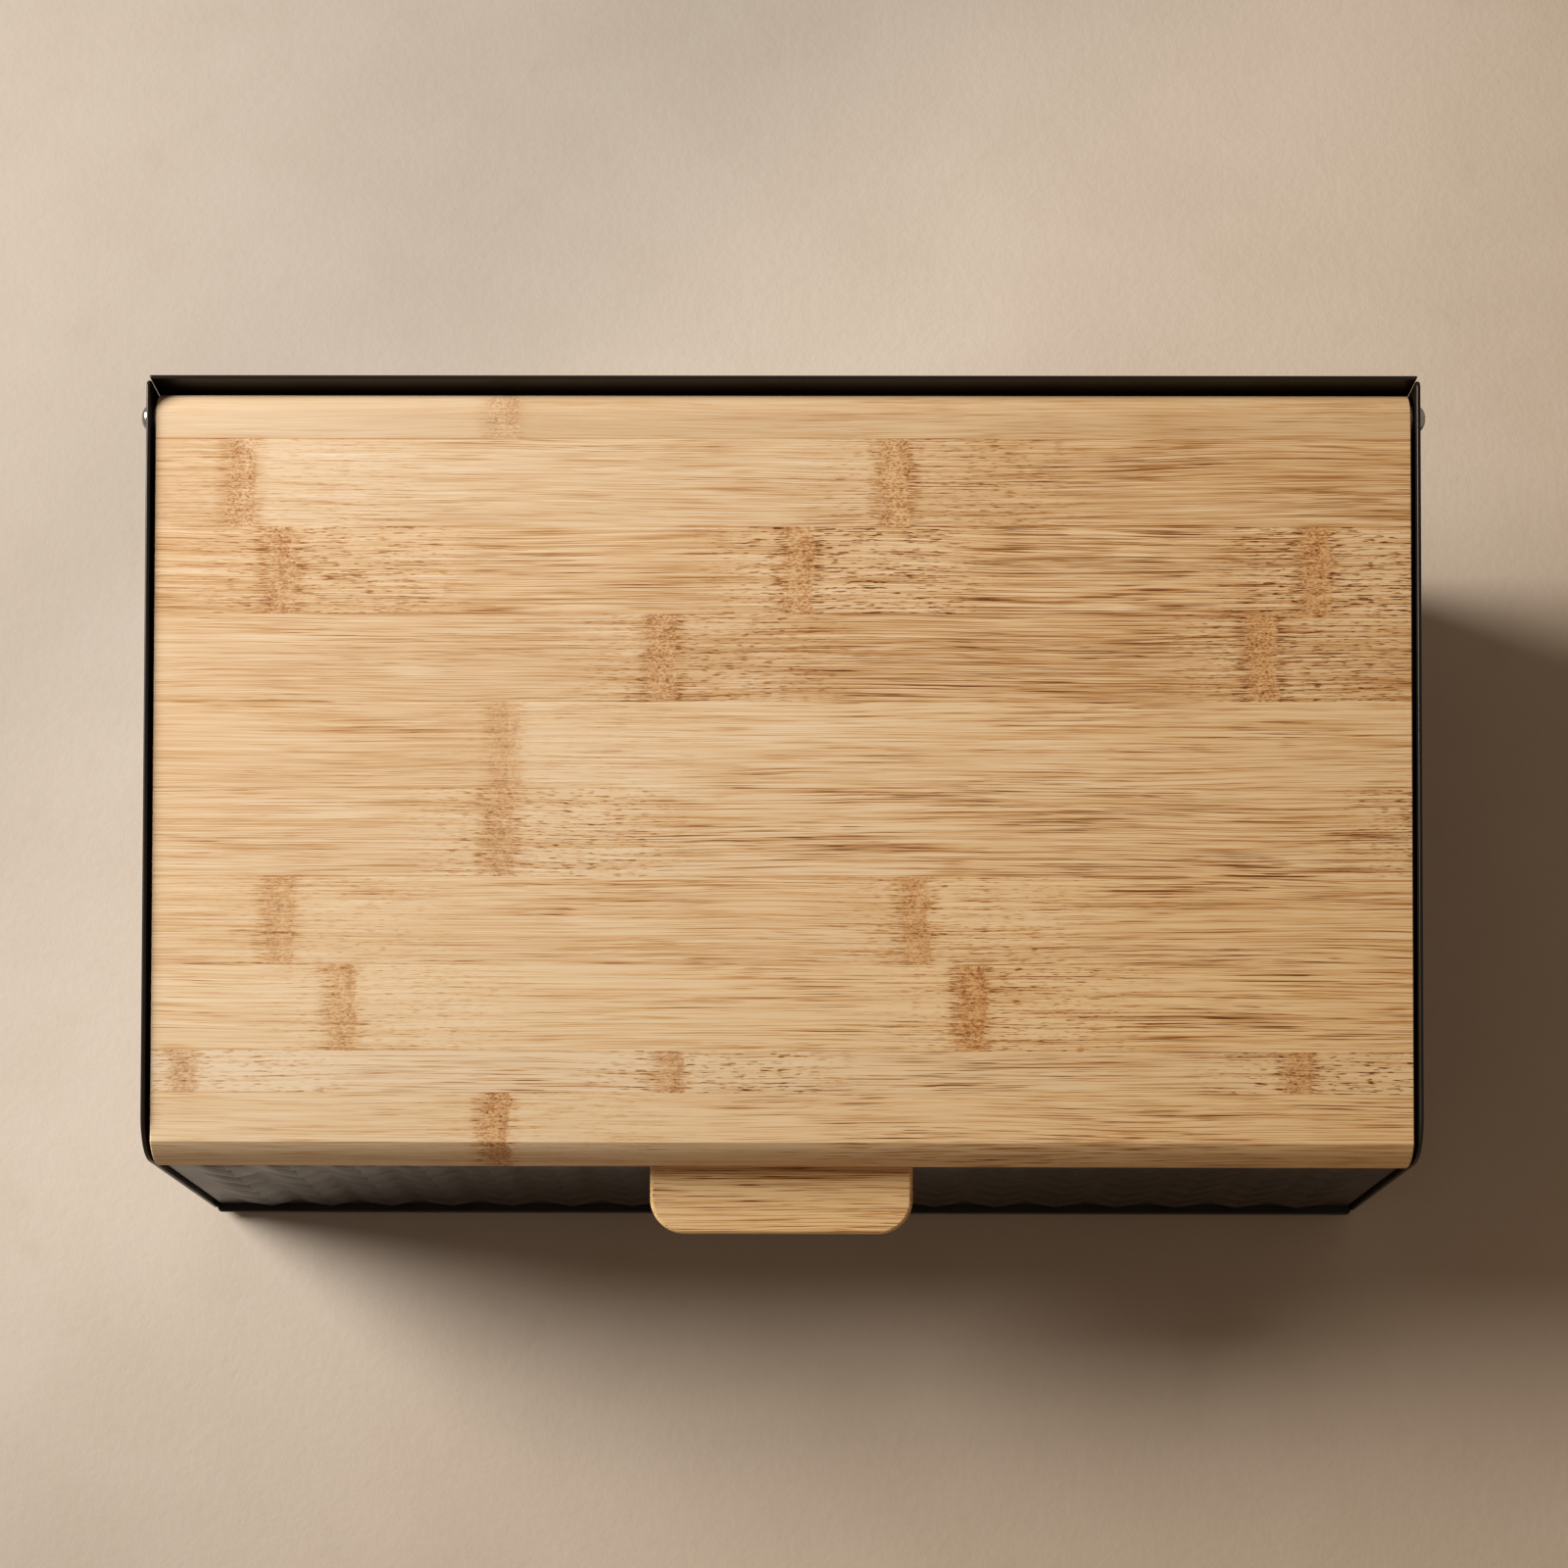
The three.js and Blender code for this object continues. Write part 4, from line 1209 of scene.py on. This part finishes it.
def plaster():
    """Pale, plain plaster with faint clouds of tone, which turns into the backdrop far away."""
    m = Nodes("plaster")
    place = m.here()
    clouds = m.even_noise(place, 0.012, 5.0, 0.6)
    blots = m.fade(m.noise(m.stretch(place, (0.06, 0.05, 0.05)), 4.0, 0.65), 0.55, 0.75)
    fine = m.even_noise(place, 0.3, 4.0, 0.65)
    tone = m.plus(m.fade(clouds, 0.3, 0.7), m.times(blots, 0.5), m.sway(fine, 0.35))

    # Painted shade: the plaster is tinted warmer towards the right and the front, where the object's
    # shadow falls. It is also darker at the left rear, as painted shade against the lamp's falloff
    x, y, _ = m.split(place)
    # Painted warm shade towards the right and the front, where the shadow lies
    warmth = m.fade(m.minus(x, m.times(y, 0.6)), -230, 300)
    tint = m.mix(warmth, (1.0, 1.0, 1.0, 1), (1.0, 0.93, 0.84, 1))
    # Painted shade and light: darker at the left rear, where the lamp is brightest, and lighter towards
    # the front right, to even out the lamp's falloff
    painted_falloff = m.fade(m.minus(x, y), -380, -120, 0.75, 1.10)
    pale = m.mix(tone, (0.655, 0.56, 0.46, 1), (0.615, 0.52, 0.42, 1))
    m.shade(
        Base_Color=m.stretch(m.stretch(pale, tint), m.vector(painted_falloff, painted_falloff, painted_falloff)),
        Normal=m.bump(m.plus(fine, clouds), 0.5 * MM, 0.3),
        Roughness=0.9,
    )
    distance = m.add("VectorMath", {0: place}, output="Value", operation="LENGTH")
    near, far = (limit / MM for limit in FLOOR_FADE)
    share = m.times(m.fade(distance, near, far), seen_directly(m.tree))
    glow = m.add("Emission", {"Color": (*BACKDROP, 1)})
    mixed = m.add("MixShader", {0: share, 1: m.shader.outputs[0], 2: glow})
    output = m.tree.nodes["Material Output"]
    m.tree.links.new(mixed, output.inputs["Surface"])
    return m.material


def make_floor():
    """The floor, a square round the object."""
    half = FLOOR_SIZE / 2
    corners = [(-half, -half, 0), (half, -half, 0), (half, half, 0), (-half, half, 0)]
    floor = build("floor", corners, [(0, 1, 2, 3)])
    floor.data.materials.append(plaster())


def make_light():
    """One large soft lamp, up on the left and a little behind."""
    data = bpy.data.lights.new("key", "AREA")
    data.shape = "DISK"
    data.size = KEY_SIZE
    data.spread = KEY_SPREAD
    data.energy = KEY_POWER
    data.color = KEY_COLOUR
    key = bpy.data.objects.new("key", data)
    level = math.cos(KEY_ELEVATION)
    towards = (math.sin(KEY_AZIMUTH) * level, math.cos(KEY_AZIMUTH) * level, math.sin(KEY_ELEVATION))
    key.location = Vector(towards) * KEY_DISTANCE
    key.rotation_euler = (KEY_AIM - key.location).to_track_quat("-Z", "Y").to_euler()
    bpy.context.scene.collection.objects.link(key)


def make_sky():
    """A weak warm sky that fills the shadows, and a pale backdrop where it is seen itself."""
    world = bpy.data.worlds.new("sky")
    bpy.context.scene.world = world
    world.use_nodes = True
    tree = world.node_tree
    background = tree.nodes["Background"]
    colour = tree.nodes.new("ShaderNodeMix")
    colour.data_type = "RGBA"
    colour.inputs[MIX_A].default_value = (*FILL_COLOUR, 1)
    colour.inputs[MIX_B].default_value = (*BACKDROP, 1)
    tree.links.new(seen_directly(tree), colour.inputs[0])
    tree.links.new(colour.outputs[MIX_RESULT], background.inputs["Color"])


make_floor()
make_light()
make_sky()
bpy.context.scene.view_settings.view_transform = "Standard"
